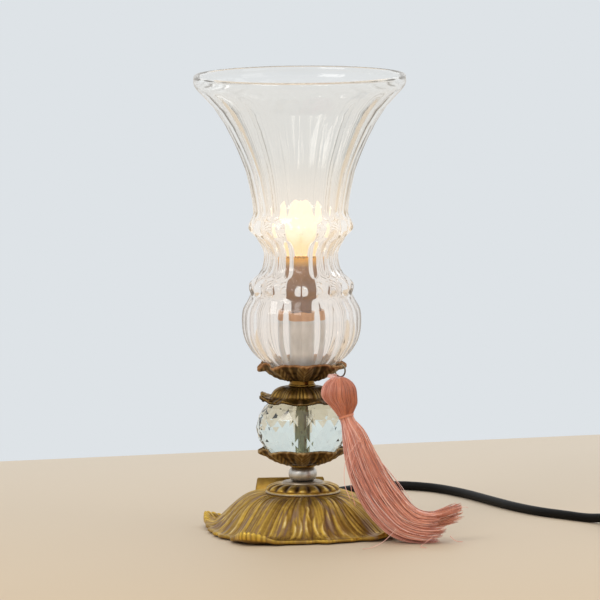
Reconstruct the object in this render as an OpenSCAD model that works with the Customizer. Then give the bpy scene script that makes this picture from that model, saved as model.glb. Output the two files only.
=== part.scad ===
// Table lamp: a tall fluted glass shade on a stem of leaf cups and a cut crystal ball,
// with a cast foot, a silk tassel hung from the upper cup, and a black mains lead.
// Millimetres, +Z up, origin on the stem's axis at the table.

/* [Foot] */
// Radius of the felt disc under the foot
felt_r = 60; // [58:0.5:61]
// Thickness of the felt, which lifts the casting off the table
felt_t = 1; // [0.8:0.1:2]
// Height of the casting's flat top above the table
foot_h = 29; // [27:0.5:34]
// Thickness of the casting's flat top
foot_plate_t = 4; // [3:0.5:5]
// Radius of the casting's edge between its scroll feet
foot_edge_r = 66; // [65:0.5:70]
// How far each scroll foot reaches past the edge
foot_reach = 14; // [8:0.5:15]
// How far each scroll foot curls up at its tip
foot_curl = 5; // [0:0.5:7]
// How full the casting's shoulder is, as a power of the way to its edge
foot_swell = 1.4; // [1.1:0.05:1.5]
// Thickness of the casting's edge
foot_edge_t = 2.4; // [2:0.1:3.5]
// Wall of the casting
foot_wall = 3; // [2.4:0.1:3.6]
// Height of the leaf relief on the casting
foot_relief = 1.2; // [0:0.1:1.5]
// Width of the flat crest at the back of the casting
crest_w = 48; // [40:1:50]
// Height of the crest's top above the table
crest_h = 34.5; // [31:0.5:38]

/* [Stem] */
// Radius of the threaded tube that clamps the stem together
rod_r = 5; // [4.6:0.1:5.4]
// Radius of the tube's bore, which carries the leads
rod_bore_r = 3.6; // [3.2:0.1:3.8]
// Clearance round the tube in every piece that it goes through
rod_gap = 0.2; // [0.1:0.05:0.4]
// Radius of the gadrooned collar on the foot
collar_r = 26.8; // [25:0.1:28]
// Height of the gadrooned collar
collar_h = 8.3; // [7:0.1:9]
// Radius of the ball spacer
ball_r = 10.2; // [9:0.1:12]
// Height of the ball spacer
ball_h = 10.6; // [9:0.1:12]
// Radius of the turned necks under and over the crystal
neck_r = 9.4; // [8.8:0.1:10.5]
// Height of the neck between the ball and the lower cup
low_neck_h = 1.6; // [1.2:0.1:4]
// Height of the neck between the cap and the shade's cup
high_neck_h = 4.5; // [3:0.1:7]
// Radius of the crystal ball
crystal_r = 33.2; // [31:0.1:34]
// Height of the crystal ball between its two flats
crystal_h = 50; // [49:0.5:52]
// Thickness of the soft washer on top of the crystal
crystal_pad_t = 3; // [2:0.5:4]

/* [Leaf cups] */
// Radius of a cup's rim between its leaf tips
cup_rim_r = 27.5; // [27:0.1:28.5]
// How far a leaf tip reaches past the rim
cup_tip = 4.6; // [3:0.1:5]
// Rise of a cup's bowl from its seat to its rim
cup_depth = 10.8; // [10:0.1:11.5]
// Drop of the cap's skirt from its top to its rim
cap_drop = 11.5; // [11:0.1:12]
// Wall of a cup
cup_wall = 1.6; // [1.4:0.1:1.8]
// Radius of the hole in the tassel's leaf
eye_bore_r = 2.4; // [2.2:0.1:2.6]
// Width of metal round that hole
eye_web = 2; // [1.6:0.1:2.2]
// Distance of that hole from the stem's axis
eye_reach = 32; // [31.5:0.1:33]
// Direction of that hole, in degrees from +X
eye_turn = -40; // [-44:1:-36]

/* [Shade] */
// Height of the glass shade
shade_h = 216.6; // [210:0.5:225]
// Radius of the shade's rim
shade_rim_r = 75.7; // [72:0.1:78]
// Radius of the shade's bulb-shaped foot
shade_bulb_r = 42.4; // [41:0.1:44]
// Radius of the shade's waist between its two rows of beads
shade_waist_r = 26.6; // [26:0.1:28]
// Wall of the glass
shade_wall = 4; // [3.4:0.1:4.2]
// Depth of the hollows between the shade's ridges
shade_flute = 1.4; // [0:0.1:1.6]
// Height of the beads on the shade's two collars
shade_bead = 2.2; // [1:0.1:2.6]

/* [Lampholder] */
// Radius of the satin cup at the bottom of the lampholder
holder_cup_r = 13.5; // [12.5:0.1:14]
// Height of the satin cup
holder_cup_h = 33.8; // [32:0.1:38]
// Height of the copper ring on the cup
holder_ring_h = 5.5; // [4.5:0.1:7]
// Radius of the brown sleeve
sleeve_r = 8.9; // [8.7:0.1:9.4]
// Height of the sleeve above its seat in the copper ring
sleeve_h = 43.5; // [41:0.5:46]
// Wall of the sleeve
sleeve_wall = 0.6; // [0.5:0.05:0.7]
// Radius over the lamp cap's thread
cap_r = 5.95; // [5.9:0.01:6]
// Radius of the bulb's globe
bulb_r = 15.5; // [12:0.1:16]
// Height of the bulb's glass above its cap
bulb_h = 40; // [38:0.5:44]

/* [Tassel] */
// Mean radius of the ring that the tassel hangs from
ring_r = 4.7; // [4.6:0.1:5.1]
// Radius of the ring's wire
ring_wire_r = 0.55; // [0.45:0.05:0.6]
// Radius of the tassel's head
head_r = 12.8; // [11:0.1:12.9]
// Radius of the tassel's tied neck
neck_tie_r = 5; // [4.4:0.1:5.4]
// Radius of the tassel's skirt where it lies on the table
skirt_r = 12.3; // [10:0.1:13]

/* [Mains lead] */
// Diameter of the lead
lead_d = 6.5; // [6:0.1:6.5]
// Mean radius of the coil's turns
coil_r = 36; // [34:0.5:38]
// Gap between one turn of the coil and the next
coil_gap = 0.7; // [0.6:0.1:0.9]
// Length of the switch in the lead
switch_l = 62; // [58:1:66]
// Width of the switch
switch_w = 25; // [23:0.5:28]
// Height of the switch's two covers together
switch_h = 18; // [17:0.5:20]
// Length of the plug's body
plug_l = 36; // [32:1:40]
// Length of the plug's blades
blade_l = 17; // [16:0.5:18]

/* [Hidden] */
$fn = 64;

// Steps round the modelled skins, and how often their patterns repeat
foot_steps = 96;
collar_steps = 48;
cup_steps = 48;
shade_steps = 80;
gadroons = 24;
flutes = 20;
cup_leaves = 8;
cut_sides = 16;
cut_rows = 8;

// Small clearances
seat_gap = 0.3;
run_gap = 0.08;
bore_r = rod_r + rod_gap;
lead_r = lead_d / 2;

// The stem, from the foot up
washer_t = 1;
z_ball = foot_h + collar_h;
z_low_neck = z_ball + ball_h;
z_low_cup = z_low_neck + low_neck_h;
z_crystal = z_low_cup + cup_wall;
z_pad = z_crystal + crystal_h;
z_cap_top = z_pad + crystal_pad_t + cup_wall;
z_shade_cup = z_cap_top + high_neck_h;
z_shade = z_shade_cup + cup_wall + washer_t;
shade_floor_t = 6;
z_holder = z_shade + shade_floor_t + washer_t;

// The nuts and washers under the foot's top
nut_across = 15;
nut_h = 4;
tube_end = 4;
z_under = foot_h - foot_plate_t;
z_bottom_nut = z_under - 2.5 * washer_t - nut_h;

// The lampholder
holder_plate_t = 2;
z_holder_nut = z_holder + holder_plate_t;
z_stem = z_holder_nut + nut_h;
stem_r = 6.4;
stem_screw_h = 8;
z_tube_top = z_stem + stem_screw_h;
z_ring = z_holder + holder_cup_h;
z_sleeve = z_ring + 1.2;
z_sleeve_top = z_sleeve + sleeve_h;
insulator_r = sleeve_r - sleeve_wall - 0.1;
insulator_h = 25;
insulator_floor = 5;
z_insulator = z_sleeve_top - 1.5 - insulator_h;
stem_cup_h = 4;
shell_t = 0.4;
shell_r = cap_r + run_gap;
z_shell = z_insulator + insulator_floor;
shell_h = insulator_h - insulator_floor - 1;
rivet_r = 1.2;
rivet_head_h = 0.8;
shell_rivet_x = 4.4;

// The bulb
z_contact = z_shell + shell_t;
contact_h = 1.6;
z_tip = z_contact + contact_h;
tip_h = 1.6;
z_cap = z_tip + tip_h;
cap_t = 0.35;
cap_h = z_sleeve_top + 1.5 - z_cap;
z_glass = z_cap + cap_h;
glass_t = 0.8;

function unit(v) = v / norm(v);
function mix(a, b, t) = a + (b - a) * t;
function smooth(t) = let (c = min(1, max(0, t))) c * c * (3 - 2 * c);
// 1 at each of n directions round the axis, falling to 0 midway between them
function lobe(a, n, power) = pow((1 + cos(n * a)) / 2, power);
function polar(r, a, z) = [r * cos(a), r * sin(a), z];
function flat_ring(r, z, steps) = [for (i = [0 : steps - 1]) polar(r, 360 * i / steps, z)];

// A closed solid through rings of points, each anticlockwise seen against the way they go.
// With loop, the last ring joins the first. Otherwise both ends are capped.
module skin(rings, loop = false) {
    n = len(rings[0]);
    m = len(rings);
    spans = loop ? m : m - 1;
    sides = [
        for (i = [0 : spans - 1], j = [0 : n - 1])
            let (a = i * n + j, b = i * n + (j + 1) % n,
                 c = ((i + 1) % m) * n + (j + 1) % n, d = ((i + 1) % m) * n + j)
                each [[a, c, b], [a, d, c]]
    ];
    first_cap = [for (j = [1 : n - 2]) [0, j, j + 1]];
    last_cap = [for (j = [1 : n - 2]) let (k = (m - 1) * n) [k, k + j + 1, k + j]];
    polyhedron(
        points = [for (ring = rings) each ring],
        faces = loop ? sides : concat(sides, first_cap, last_cap),
        convexity = 12
    );
}

// A point on a smooth curve through a path's points, at t from 0 to its last index
function along(path, t) =
    let (
        last = len(path) - 1,
        i = min(floor(t), last - 1),
        f = t - i,
        p0 = path[max(i - 1, 0)],
        p1 = path[i],
        p2 = path[i + 1],
        p3 = path[min(i + 2, last)]
    )
    0.5 * (2 * p1 + (p2 - p0) * f + (2 * p0 - 5 * p1 + 4 * p2 - p3) * f * f
        + (3 * p1 - 3 * p2 + p3 - p0) * f * f * f);
function smooth_line(path, steps) =
    [for (i = [0 : (len(path) - 1) * steps]) along(path, i / steps)];
function line_length(line, i = 0) =
    i >= len(line) - 1 ? 0 : norm(line[i + 1] - line[i]) + line_length(line, i + 1);

// Rings of n sides, square to a line of points; r is one radius, or a list of one for each point
function tube_rings(line, r, n, up = [0, 0, 1]) = [
    for (i = [0 : len(line) - 1])
        let (
            way = unit(line[min(i + 1, len(line) - 1)] - line[max(i - 1, 0)]),
            side = unit(cross(up, way)),
            top = cross(way, side),
            here = is_list(r) ? r[i] : r
        )
        [for (j = [0 : n - 1]) line[i] + here * (side * cos(360 * j / n) + top * sin(360 * j / n))]
];
module tube(line, r, n, up = [0, 0, 1]) {
    skin(tube_rings(line, r, n, up));
}

// A straight round bar between two points
module bar(a, b, r) {
    d = b - a;
    translate(a)
        rotate([0, acos(d[2] / norm(d)), atan2(d[1], d[0])])
            cylinder(r = r, h = norm(d));
}
module washer(z, h, r, bore) {
    translate([0, 0, z])
        difference() {
            cylinder(r = r, h = h);
            translate([0, 0, -1]) cylinder(r = bore, h = h + 2);
        }
}
module hex_nut(z, across, bore) {
    translate([0, 0, z])
        difference() {
            cylinder(r = across / 2 / cos(30), h = nut_h, $fn = 6);
            translate([0, 0, -1]) cylinder(r = bore, h = nut_h + 2);
        }
}
module drill(z, h) {
    translate([0, 0, z]) cylinder(r = bore_r, h = h);
}

// The foot: a casting with four scroll feet, hollow underneath, on a felt disc.
// The flat crest stands at its back, and the boss round the lead's hole comes out of the crest.
foot_turn = 60;
foot_seat_r = 25;
foot_land_r = 56;
lead_turn = 94;
lead_z = 9.5;
boss_r = 7.2;
boss_start = 46;
boss_end = 64;
crest_y = 40;
crest_t = 3;
crest_spread = 4;
crest_x = -6;
function scroll(a) = lobe(a - foot_turn, 4, 3);
function foot_edge(a) = foot_edge_r + foot_reach * scroll(a) + 1.2 * cos(24 * (a - foot_turn));
function foot_curl_z(a, s) = foot_curl * scroll(a) * smooth((s - 0.72) / 0.28);
function foot_top_z(a, s) =
    let (
        low = felt_t + foot_edge_t,
        swell = 0.5 + 0.5 * cos(180 * pow(s, foot_swell)),
        leaf = foot_relief * cos(24 * (a - foot_turn) + 70 * s * sin(4 * (a - foot_turn))),
        fade = smooth(s / 0.25) * smooth((1.02 - s) / 0.25)
    )
    low + (foot_h - low) * swell + leaf * fade + foot_curl_z(a, s);
function foot_top(s) = [
    for (i = [0 : foot_steps - 1])
        let (a = 360 * i / foot_steps)
        polar(mix(foot_seat_r, foot_edge(a), s), a, foot_top_z(a, s))
];
function foot_under(t) = [
    for (i = [0 : foot_steps - 1])
        let (
            a = 360 * i / foot_steps,
            r = mix(foot_seat_r - 3, foot_land_r, t),
            s = max(0, (r - foot_seat_r) / (foot_edge(a) - foot_seat_r)),
            wall = foot_wall + foot_relief * smooth(s / 0.25)
        )
        polar(r, a, t == 0 ? z_under : max(felt_t, min(z_under, foot_top_z(a, s) - wall)))
];
function foot_land(t) = [
    for (i = [0 : foot_steps - 1])
        let (a = 360 * i / foot_steps, r = mix(foot_land_r, foot_edge(a), t),
             s = (r - foot_seat_r) / (foot_edge(a) - foot_seat_r))
        polar(r, a, felt_t + (t < 0.4 ? 0 : foot_curl_z(a, s)))
];
module base_casting() {
    color([0.5, 0.42, 0.2])
        difference() {
            union() {
                skin([
                    flat_ring(rod_r - 1, z_under, foot_steps),
                    for (t = [0, 0.4, 0.7, 0.99]) foot_under(t),
                    for (t = [0, 0.35, 1]) foot_land(t),
                    for (s = [1, 0.9, 0.78, 0.64, 0.48, 0.32, 0.16, 0]) foot_top(s),
                    flat_ring(rod_r - 1, foot_h, foot_steps)
                ], loop = true);
                rotate([0, 0, lead_turn - 90])
                    translate([crest_x, crest_y + crest_t, lead_z])
                        rotate([90, 0, 0])
                            linear_extrude(crest_t)
                                polygon([
                                    [-crest_w / 2 - crest_spread, 0], [crest_w / 2 + crest_spread, 0],
                                    [crest_w / 2, crest_h - lead_z], [-crest_w / 2, crest_h - lead_z]
                                ]);
                rotate([0, 0, lead_turn])
                    translate([boss_start, 0, lead_z])
                        rotate([0, 90, 0]) cylinder(r = boss_r, h = boss_end - boss_start);
            }
            drill(z_under - 1, foot_plate_t + 2);
            rotate([0, 0, lead_turn])
                translate([foot_wall + foot_seat_r, 0, lead_z])
                    rotate([0, 90, 0]) cylinder(r = grip_neck_r + 0.1, h = boss_end);
            rotate([0, 0, lead_turn])
                translate([boss_end, 0, lead_z])
                    rotate([0, 90, 0]) cylinder(r = grip_flange_r + flange_room, h = grip_l);
        }
}
module base_felt() {
    color([0.12, 0.12, 0.11]) cylinder(r = felt_r, h = felt_t);
}

// What clamps the stem together
module bottom_nut() {
    color([0.7, 0.6, 0.3]) hex_nut(z_bottom_nut, nut_across, rod_r + run_gap);
}
module lock_washer() {
    color([0.65, 0.65, 0.66]) washer(z_under - 2.5 * washer_t, washer_t, nut_across / 2, bore_r);
}
module bottom_washer() {
    color([0.7, 0.7, 0.7]) washer(z_under - 1.5 * washer_t, 1.5 * washer_t, 12, bore_r);
}
module threaded_tube() {
    low = z_bottom_nut - tube_end;
    color([0.62, 0.58, 0.42]) washer(low, z_tube_top - low, rod_r, rod_bore_r);
}

// The gadrooned collar on the foot
flange_r = 14.3;
function collar_ring(r, h, dip) = [
    for (i = [0 : collar_steps - 1])
        let (a = 360 * i / collar_steps, groove = pow(abs(cos(gadroons * a / 2)), 3))
        polar(r - dip * groove, a, foot_h + h - dip * groove / 2)
];
module base_collar() {
    color([0.55, 0.45, 0.2])
        difference() {
            skin([
                collar_ring(rod_r - 1, 0, 0),
                collar_ring(collar_r - 0.8, 0, 0),
                collar_ring(collar_r, 0.8, 0),
                collar_ring(collar_r - 0.4, 1.6, 0),
                collar_ring(mix(flange_r, collar_r, 0.97), 3.2, 0.9),
                collar_ring(mix(flange_r, collar_r, 0.85), 5, 1.2),
                collar_ring(mix(flange_r, collar_r, 0.6), 6.4, 1.1),
                collar_ring(mix(flange_r, collar_r, 0.25), collar_h - 1.2, 0.4),
                collar_ring(flange_r, collar_h - 0.9, 0),
                collar_ring(flange_r - 0.3, collar_h, 0),
                collar_ring(rod_r - 1, collar_h, 0)
            ], loop = true);
            drill(foot_h - 1, collar_h + 2);
        }
}

// A turned piece with a round side, between two flats
module barrel(z, h, r, bulge_r) {
    translate([0, 0, z])
        difference() {
            rotate_extrude()
                intersection() {
                    square([r, h]);
                    union() {
                        translate([r - bulge_r, h / 2]) circle(r = bulge_r);
                        square([r - bulge_r, h]);
                    }
                }
            translate([0, 0, -1]) cylinder(r = bore_r, h = h + 2);
        }
}
module ball_spacer() {
    color([0.7, 0.69, 0.68]) barrel(z_ball, ball_h, ball_r, ball_h * 0.57);
}
module lower_neck_ring() {
    color([0.5, 0.42, 0.22]) barrel(z_low_neck, low_neck_h, neck_r, low_neck_h * 0.6);
}
module upper_neck_ring() {
    band_h = high_neck_h * 0.4;
    color([0.62, 0.52, 0.28])
        union() {
            barrel(z_cap_top, band_h, neck_r + 0.3, band_h * 0.6);
            washer(z_cap_top + band_h, high_neck_h - band_h, neck_r - 0.5, bore_r);
        }
}

// The leaf cups. A cup is a bowl with leaf tips round its rim; share runs from seat to rim.
seat_r = neck_r + 0.4;
bowl_curve = 1.9;
function cup_r(a, s, turn) = mix(seat_r, cup_rim_r + cup_tip * lobe(a - turn, cup_leaves, 1.5), s);
function cup_vein(a, s, turn) = 0.4 * cos(cup_leaves * 3 * (a - turn)) * smooth(s / 0.3) * (1 - s);
function bowl_z(a, s, turn, depth, droop) =
    depth * pow(s, bowl_curve) - droop * lobe(a - turn, cup_leaves, 2) * smooth((s - 0.72) / 0.28)
        - cup_vein(a, s, turn);
// The cap is a round dome out to a share of its radius, and a flared rim from there
cap_dome = 0.62;
cap_dome_drop = 7;
cap_tip_rise = 4;
function dome(u) = 1 - sqrt(1 - 0.95 * u * u);
function cap_z(a, s, turn) =
    (s < cap_dome
        ? cap_dome_drop * dome(s / cap_dome) / dome(1)
        : mix(cap_dome_drop, cap_drop, (s - cap_dome) / (1 - cap_dome)))
        - cap_tip_rise * lobe(a - turn, cup_leaves, 2) * smooth((s - 0.7) / 0.3)
        + cup_vein(a, s, turn);
cap_shares = [0, 0.28, 0.48, cap_dome, 0.8, 1];
cup_shares = [0, 0.3, 0.6, 0.82, 1];
module bowl_skin(z, turn, depth, droop) {
    skin([
        flat_ring(rod_r - 1, z, cup_steps),
        for (s = cup_shares)
            [for (i = [0 : cup_steps - 1])
                let (a = 360 * i / cup_steps)
                polar(cup_r(a, s, turn), a, z + bowl_z(a, s, turn, depth, droop))],
        for (k = [len(cup_shares) - 1 : -1 : 0])
            let (s = cup_shares[k])
            [for (i = [0 : cup_steps - 1])
                let (a = 360 * i / cup_steps, smooth_top = depth * pow(s, bowl_curve))
                polar(cup_r(a, s, turn), a,
                    z + cup_wall + (s < 0.7 ? smooth_top : bowl_z(a, s, turn, depth, droop)))],
        flat_ring(rod_r - 1, z + cup_wall, cup_steps)
    ], loop = true);
}
module lower_leaf_cup() {
    color([0.42, 0.35, 0.2])
        difference() {
            bowl_skin(z_low_cup, 0, cup_depth - 1.4, 1.3);
            drill(z_low_cup - 1, cup_wall + 2);
        }
}
module upper_leaf_cap() {
    turn = eye_turn - 7 + 180 / cup_leaves;
    rim = [for (s = cap_shares)
        [for (i = [0 : cup_steps - 1])
            let (a = 360 * i / cup_steps)
            polar(cup_r(a, s, turn), a, z_cap_top - cap_z(a, s, turn))]];
    color([0.42, 0.35, 0.16])
        difference() {
            skin([
                flat_ring(rod_r - 1, z_cap_top - cup_wall, cup_steps),
                for (row = rim) [for (p = row) [p[0], p[1], p[2] - cup_wall]],
                for (k = [len(cap_shares) - 1 : -1 : 0]) rim[k],
                flat_ring(rod_r - 1, z_cap_top, cup_steps)
            ], loop = true);
            drill(z_cap_top - 4 * cup_wall, 6 * cup_wall);
        }
}

// The shade's cup has one leaf that ends in a drilled eye for the tassel's ring
eye_x = eye_reach * cos(eye_turn);
eye_y = eye_reach * sin(eye_turn);
eye_z = z_shade_cup + cup_depth + 0.4;
eye_r = eye_bore_r + eye_web;
module shade_leaf_cup() {
    root = 27.4;
    root_w = 6.8;
    root_h = 2.6;
    color([0.5, 0.4, 0.2])
        difference() {
            union() {
                bowl_skin(z_shade_cup, eye_turn, cup_depth, 1.8);
                translate([eye_x, eye_y, eye_z]) cylinder(r = eye_r, h = cup_wall);
                rotate([0, 0, eye_turn])
                    translate([root, -root_w / 2, eye_z - root_h])
                        cube([eye_reach - root, root_w, root_h + cup_wall]);
            }
            drill(z_shade_cup - 1, cup_wall + 2);
            translate([eye_x, eye_y, eye_z - 1]) cylinder(r = eye_bore_r, h = 2 * cup_wall);
            translate([eye_x, eye_y, eye_z - 6]) cylinder(r = eye_bore_r + 1.2, h = 6);
        }
}

// The cut crystal ball: rows of points, each row turned half a step from the last
crystal_lean = 72;
function crystal_row(k) =
    let (
        lean = crystal_lean * (2 * k / cut_rows - 1),
        z = crystal_h / 2 * sin(lean) / sin(crystal_lean),
        r = crystal_r * cos(lean)
    )
    [for (j = [0 : cut_sides - 1])
        polar(r, 360 * (j + (k % 2) / 2) / cut_sides, z_crystal + crystal_h / 2 + z)];
module crystal_ball() {
    rows = [for (k = [0 : cut_rows]) crystal_row(k)];
    n = cut_sides;
    sides = [
        for (k = [0 : cut_rows - 1], j = [0 : n - 1])
            let (a = k * n + j, b = k * n + (j + 1) % n, c = (k + 1) * n + j, d = (k + 1) * n + (j + 1) % n)
                each (k % 2 == 0 ? [[a, c, b], [b, c, d]] : [[a, d, b], [a, c, d]])
    ];
    top = cut_rows * n;
    color([0.85, 0.93, 0.88, 0.45])
        difference() {
            polyhedron(
                points = [for (row = rows) each row],
                faces = concat(sides, [[for (j = [0 : n - 1]) j]], [[for (j = [n - 1 : -1 : 0]) top + j]]),
                convexity = 4
            );
            drill(z_crystal - 1, crystal_h + 2);
        }
}
module crystal_pad() {
    color([0.2, 0.2, 0.2]) washer(z_pad, crystal_pad_t, 8.5, bore_r);
}

// The glass shade. Each row is a height over the shade's foot, an outer radius over the ridges,
// a share of the hollows' depth and a share of the beads' height.
shade_outline = [
    [0, shade_bulb_r * 0.26, 0, 0],
    [6, shade_bulb_r * 0.47, 0, 0],
    [12, shade_bulb_r * 0.7, 0.6, 0],
    [18, shade_bulb_r * 0.84, 1, 0],
    [26, shade_bulb_r * 0.95, 1, 0],
    [35, shade_bulb_r, 1, 0],
    [48, shade_bulb_r * 0.99, 1, 0],
    [58.5, shade_bulb_r * 0.87, 0.5, 0],
    [62.5, shade_bulb_r * 0.885, 0, 1],
    [67, shade_bulb_r * 0.875, 0, 0.8],
    [77, shade_waist_r + 1.8, 1, 0],
    [89, shade_waist_r, 1, 0],
    [97, shade_waist_r + 3.8, 1, 0],
    [106.5, shade_waist_r + 11, 0, 1],
    [112, shade_waist_r + 9.6, 0, 0.4],
    [119, shade_waist_r + 7.4, 1, 0],
    [147, shade_waist_r + 12.2, 1, 0],
    [164, shade_waist_r + 18.8, 1, 0],
    [181, mix(shade_waist_r, shade_rim_r, 0.55), 1, 0],
    [193, mix(shade_waist_r, shade_rim_r, 0.71), 1, 0],
    [201, mix(shade_waist_r, shade_rim_r, 0.86), 0.8, 0],
    [209, shade_rim_r - 0.5, 0, 0],
    [214.5, shade_rim_r, 0, 0]
];
shade_full_h = 216.6;
shade_inside = [6, 12, 26, 48, 64, 89, 108, 140, 172, 196];
shade_radii = [for (row = shade_outline) [row[0], row[1]]];
function shade_z(h) = z_shade + h * shade_h / shade_full_h;
function shade_ring(row) = [
    for (i = [0 : shade_steps - 1])
        let (a = 360 * i / shade_steps, mid = abs(sin(flutes * a / 2)))
        polar(row[1] - shade_flute * row[2] * mid - shade_bead * row[3] * (1 - mid), a, shade_z(row[0]))
];
module glass_shade() {
    color([0.97, 0.92, 0.88, 0.3])
        difference() {
            skin([
                flat_ring(rod_r - 1, z_shade, shade_steps),
                for (row = shade_outline) shade_ring(row),
                flat_ring(shade_rim_r - 1, z_shade + shade_h, shade_steps),
                flat_ring(shade_rim_r - shade_wall + 0.6, z_shade + shade_h, shade_steps),
                for (k = [len(shade_inside) - 1 : -1 : 0])
                    let (h = shade_inside[k])
                    flat_ring(lookup(h, shade_radii) - shade_wall, shade_z(h), shade_steps),
                flat_ring(rod_r - 1, shade_z(shade_floor_t), shade_steps)
            ], loop = true);
            drill(z_shade - 1, shade_floor_t + 2);
        }
}
module shade_seat_washer() {
    color([0.25, 0.22, 0.2]) washer(z_shade - washer_t, washer_t, neck_r, bore_r);
}
module shade_top_washer() {
    color([0.8, 0.8, 0.78]) washer(shade_z(shade_floor_t), z_holder - shade_z(shade_floor_t), 11, bore_r);
}

// The lampholder inside the shade
module holder_cup() {
    color([0.82, 0.81, 0.79])
        translate([0, 0, z_holder])
            difference() {
                cylinder(r = holder_cup_r, h = holder_cup_h);
                translate([0, 0, holder_plate_t]) cylinder(r = holder_cup_r - 1, h = holder_cup_h);
                translate([0, 0, -1]) cylinder(r = bore_r, h = holder_cup_h);
            }
}
module holder_nut() {
    color([0.7, 0.6, 0.3]) hex_nut(z_holder_nut, nut_across, rod_r + run_gap);
}
module holder_ring() {
    hole = sleeve_r + run_gap;
    color([0.72, 0.42, 0.26])
        translate([0, 0, z_ring])
            difference() {
                union() {
                    cylinder(r = holder_cup_r, h = holder_ring_h);
                    translate([0, 0, -2]) cylinder(r = holder_cup_r - 1 - run_gap, h = 3);
                }
                translate([0, 0, z_sleeve - z_ring]) cylinder(r = hole, h = holder_ring_h);
                translate([0, 0, -3]) cylinder(r = sleeve_r - 1, h = holder_ring_h);
            }
}
module holder_sleeve() {
    color([0.4, 0.28, 0.16])
        washer(z_sleeve, sleeve_h, sleeve_r, sleeve_r - sleeve_wall);
}
module holder_stem() {
    top = z_insulator - z_stem;
    passage_r = 3.8;
    color([0.6, 0.6, 0.6])
        translate([0, 0, z_stem])
            rotate_extrude()
                polygon([
                    [rod_r + run_gap, 0], [stem_r, 0], [stem_r, top - stem_cup_h - 1.5],
                    [insulator_r, top - stem_cup_h - 1.5], [insulator_r, top],
                    [insulator_r - 1.4, top], [insulator_r - 1.4, top - stem_cup_h],
                    [passage_r, top - stem_cup_h], [passage_r, stem_screw_h], [rod_r + run_gap, stem_screw_h]
                ]);
}
module socket_insulator() {
    color([0.9, 0.88, 0.82])
        translate([0, 0, z_insulator])
            difference() {
                cylinder(r = insulator_r, h = insulator_h);
                translate([0, 0, insulator_floor]) cylinder(r = shell_r + shell_t, h = insulator_h);
                for (x = [0, shell_rivet_x]) translate([x, 0, -1]) cylinder(r = rivet_r, h = insulator_h);
            }
}
module screw_shell() {
    color([0.75, 0.62, 0.3])
        translate([0, 0, z_shell])
            difference() {
                cylinder(r = shell_r + shell_t, h = shell_h);
                translate([0, 0, shell_t]) cylinder(r = shell_r, h = shell_h);
                translate([0, 0, -1]) cylinder(r = 3, h = shell_h);
                translate([shell_rivet_x, 0, -1]) cylinder(r = rivet_r - 0.2, h = 3);
            }
}
module center_contact() {
    color([0.8, 0.65, 0.3]) translate([0, 0, z_shell]) cylinder(r = 2.4, h = z_contact + contact_h - z_shell);
}
module contact_rivets() {
    color([0.75, 0.62, 0.3])
        for (x = [0, shell_rivet_x])
            translate([x, 0, z_insulator - rivet_head_h]) {
                through = rivet_head_h + insulator_floor + (x > 0 ? shell_t : 0);
                cylinder(r = 1.5 * rivet_r, h = rivet_head_h);
                cylinder(r = rivet_r - (x > 0 ? 0.2 : 0), h = through);
            }
}

// The two leads, from the sheath's end in the foot up the tube to the rivets
wire_r = 1;
tail_end = 30;
join_gap = 0.7; // left where a lead's end meets the next piece
function wire_line(x, y) = smooth_line([
    [(tail_end - join_gap) * cos(lead_turn) + x, (tail_end - join_gap) * sin(lead_turn) + y, lead_z],
    [x + 0.7 * tail_end * cos(lead_turn), 0.7 * tail_end * sin(lead_turn) + y, lead_z - 1],
    [x - 0.5, 9 + y, lead_z - 1.5],
    [x, 2.5 + y, lead_z + 1],
    [x, y, lead_z + 5],
    [x, y, z_holder],
    [x, y, z_insulator - stem_cup_h - 3],
    [x > 0 ? shell_rivet_x : 0, 0, z_insulator - rivet_head_h - 1.9],
    [x > 0 ? shell_rivet_x : 0, 0, z_insulator - rivet_head_h - join_gap]
], 3);
module live_lead() {
    color([0.45, 0.25, 0.15]) tube(wire_line(-1.4, 0), wire_r, 6, [0.1, 1, 0.3]);
}
module neutral_lead() {
    color([0.2, 0.35, 0.6]) tube(wire_line(1.4, 0), wire_r, 6, [0.1, 1, 0.3]);
}

// The bulb: its tip rises as its cap turns
module bulb_contact() {
    color([0.75, 0.75, 0.76]) translate([0, 0, z_tip]) cylinder(r = 2.2, h = tip_h);
}
module bulb_cap() {
    color([0.8, 0.7, 0.4])
        translate([0, 0, z_cap])
            difference() {
                cylinder(r = cap_r, h = cap_h);
                translate([0, 0, 1]) cylinder(r = cap_r - cap_t, h = cap_h);
            }
}
module bulb_glass() {
    neck = cap_r - cap_t - 0.05;
    globe_z = bulb_h - bulb_r;
    half = asin(neck / bulb_r);
    color([1, 0.9, 0.7, 0.5])
        translate([0, 0, z_glass])
            rotate_extrude()
                difference() {
                    union() {
                        translate([0, -4]) square([neck, 4 + globe_z]);
                        translate([0, globe_z]) circle(r = bulb_r);
                        polygon([[0, 1], [neck, 1], [bulb_r * 0.86, globe_z - bulb_r * 0.5], [0, globe_z]]);
                    }
                    translate([0, -5]) square([neck - glass_t, 6 + globe_z]);
                    translate([0, globe_z]) circle(r = bulb_r - glass_t);
                    polygon([
                        [0, 2], [neck - glass_t, 2],
                        [bulb_r * 0.86 - 1.1, globe_z - bulb_r * 0.5 + 0.3], [0, globe_z]
                    ]);
                    translate([-60, -60]) square([60, 120]);
                }
}
filament_z = z_glass + 20;
module bulb_stem() {
    color([0.9, 0.92, 0.92, 0.6])
        translate([0, 0, z_cap + 1]) cylinder(r = 2.6, h = filament_z - z_cap - 4);
}
module bulb_filament() {
    color([0.9, 0.7, 0.4]) {
        for (x = [-1, 1]) bar([x * 1.5, 0, filament_z - 2.78], [x * 6, 0, filament_z + 2.4], 0.3);
        translate([0, 0, filament_z + 2])
            rotate([90, 0, 0])
                rotate_extrude(angle = 180) translate([6, 0]) circle(r = 0.4, $fn = 16);
    }
}

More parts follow.
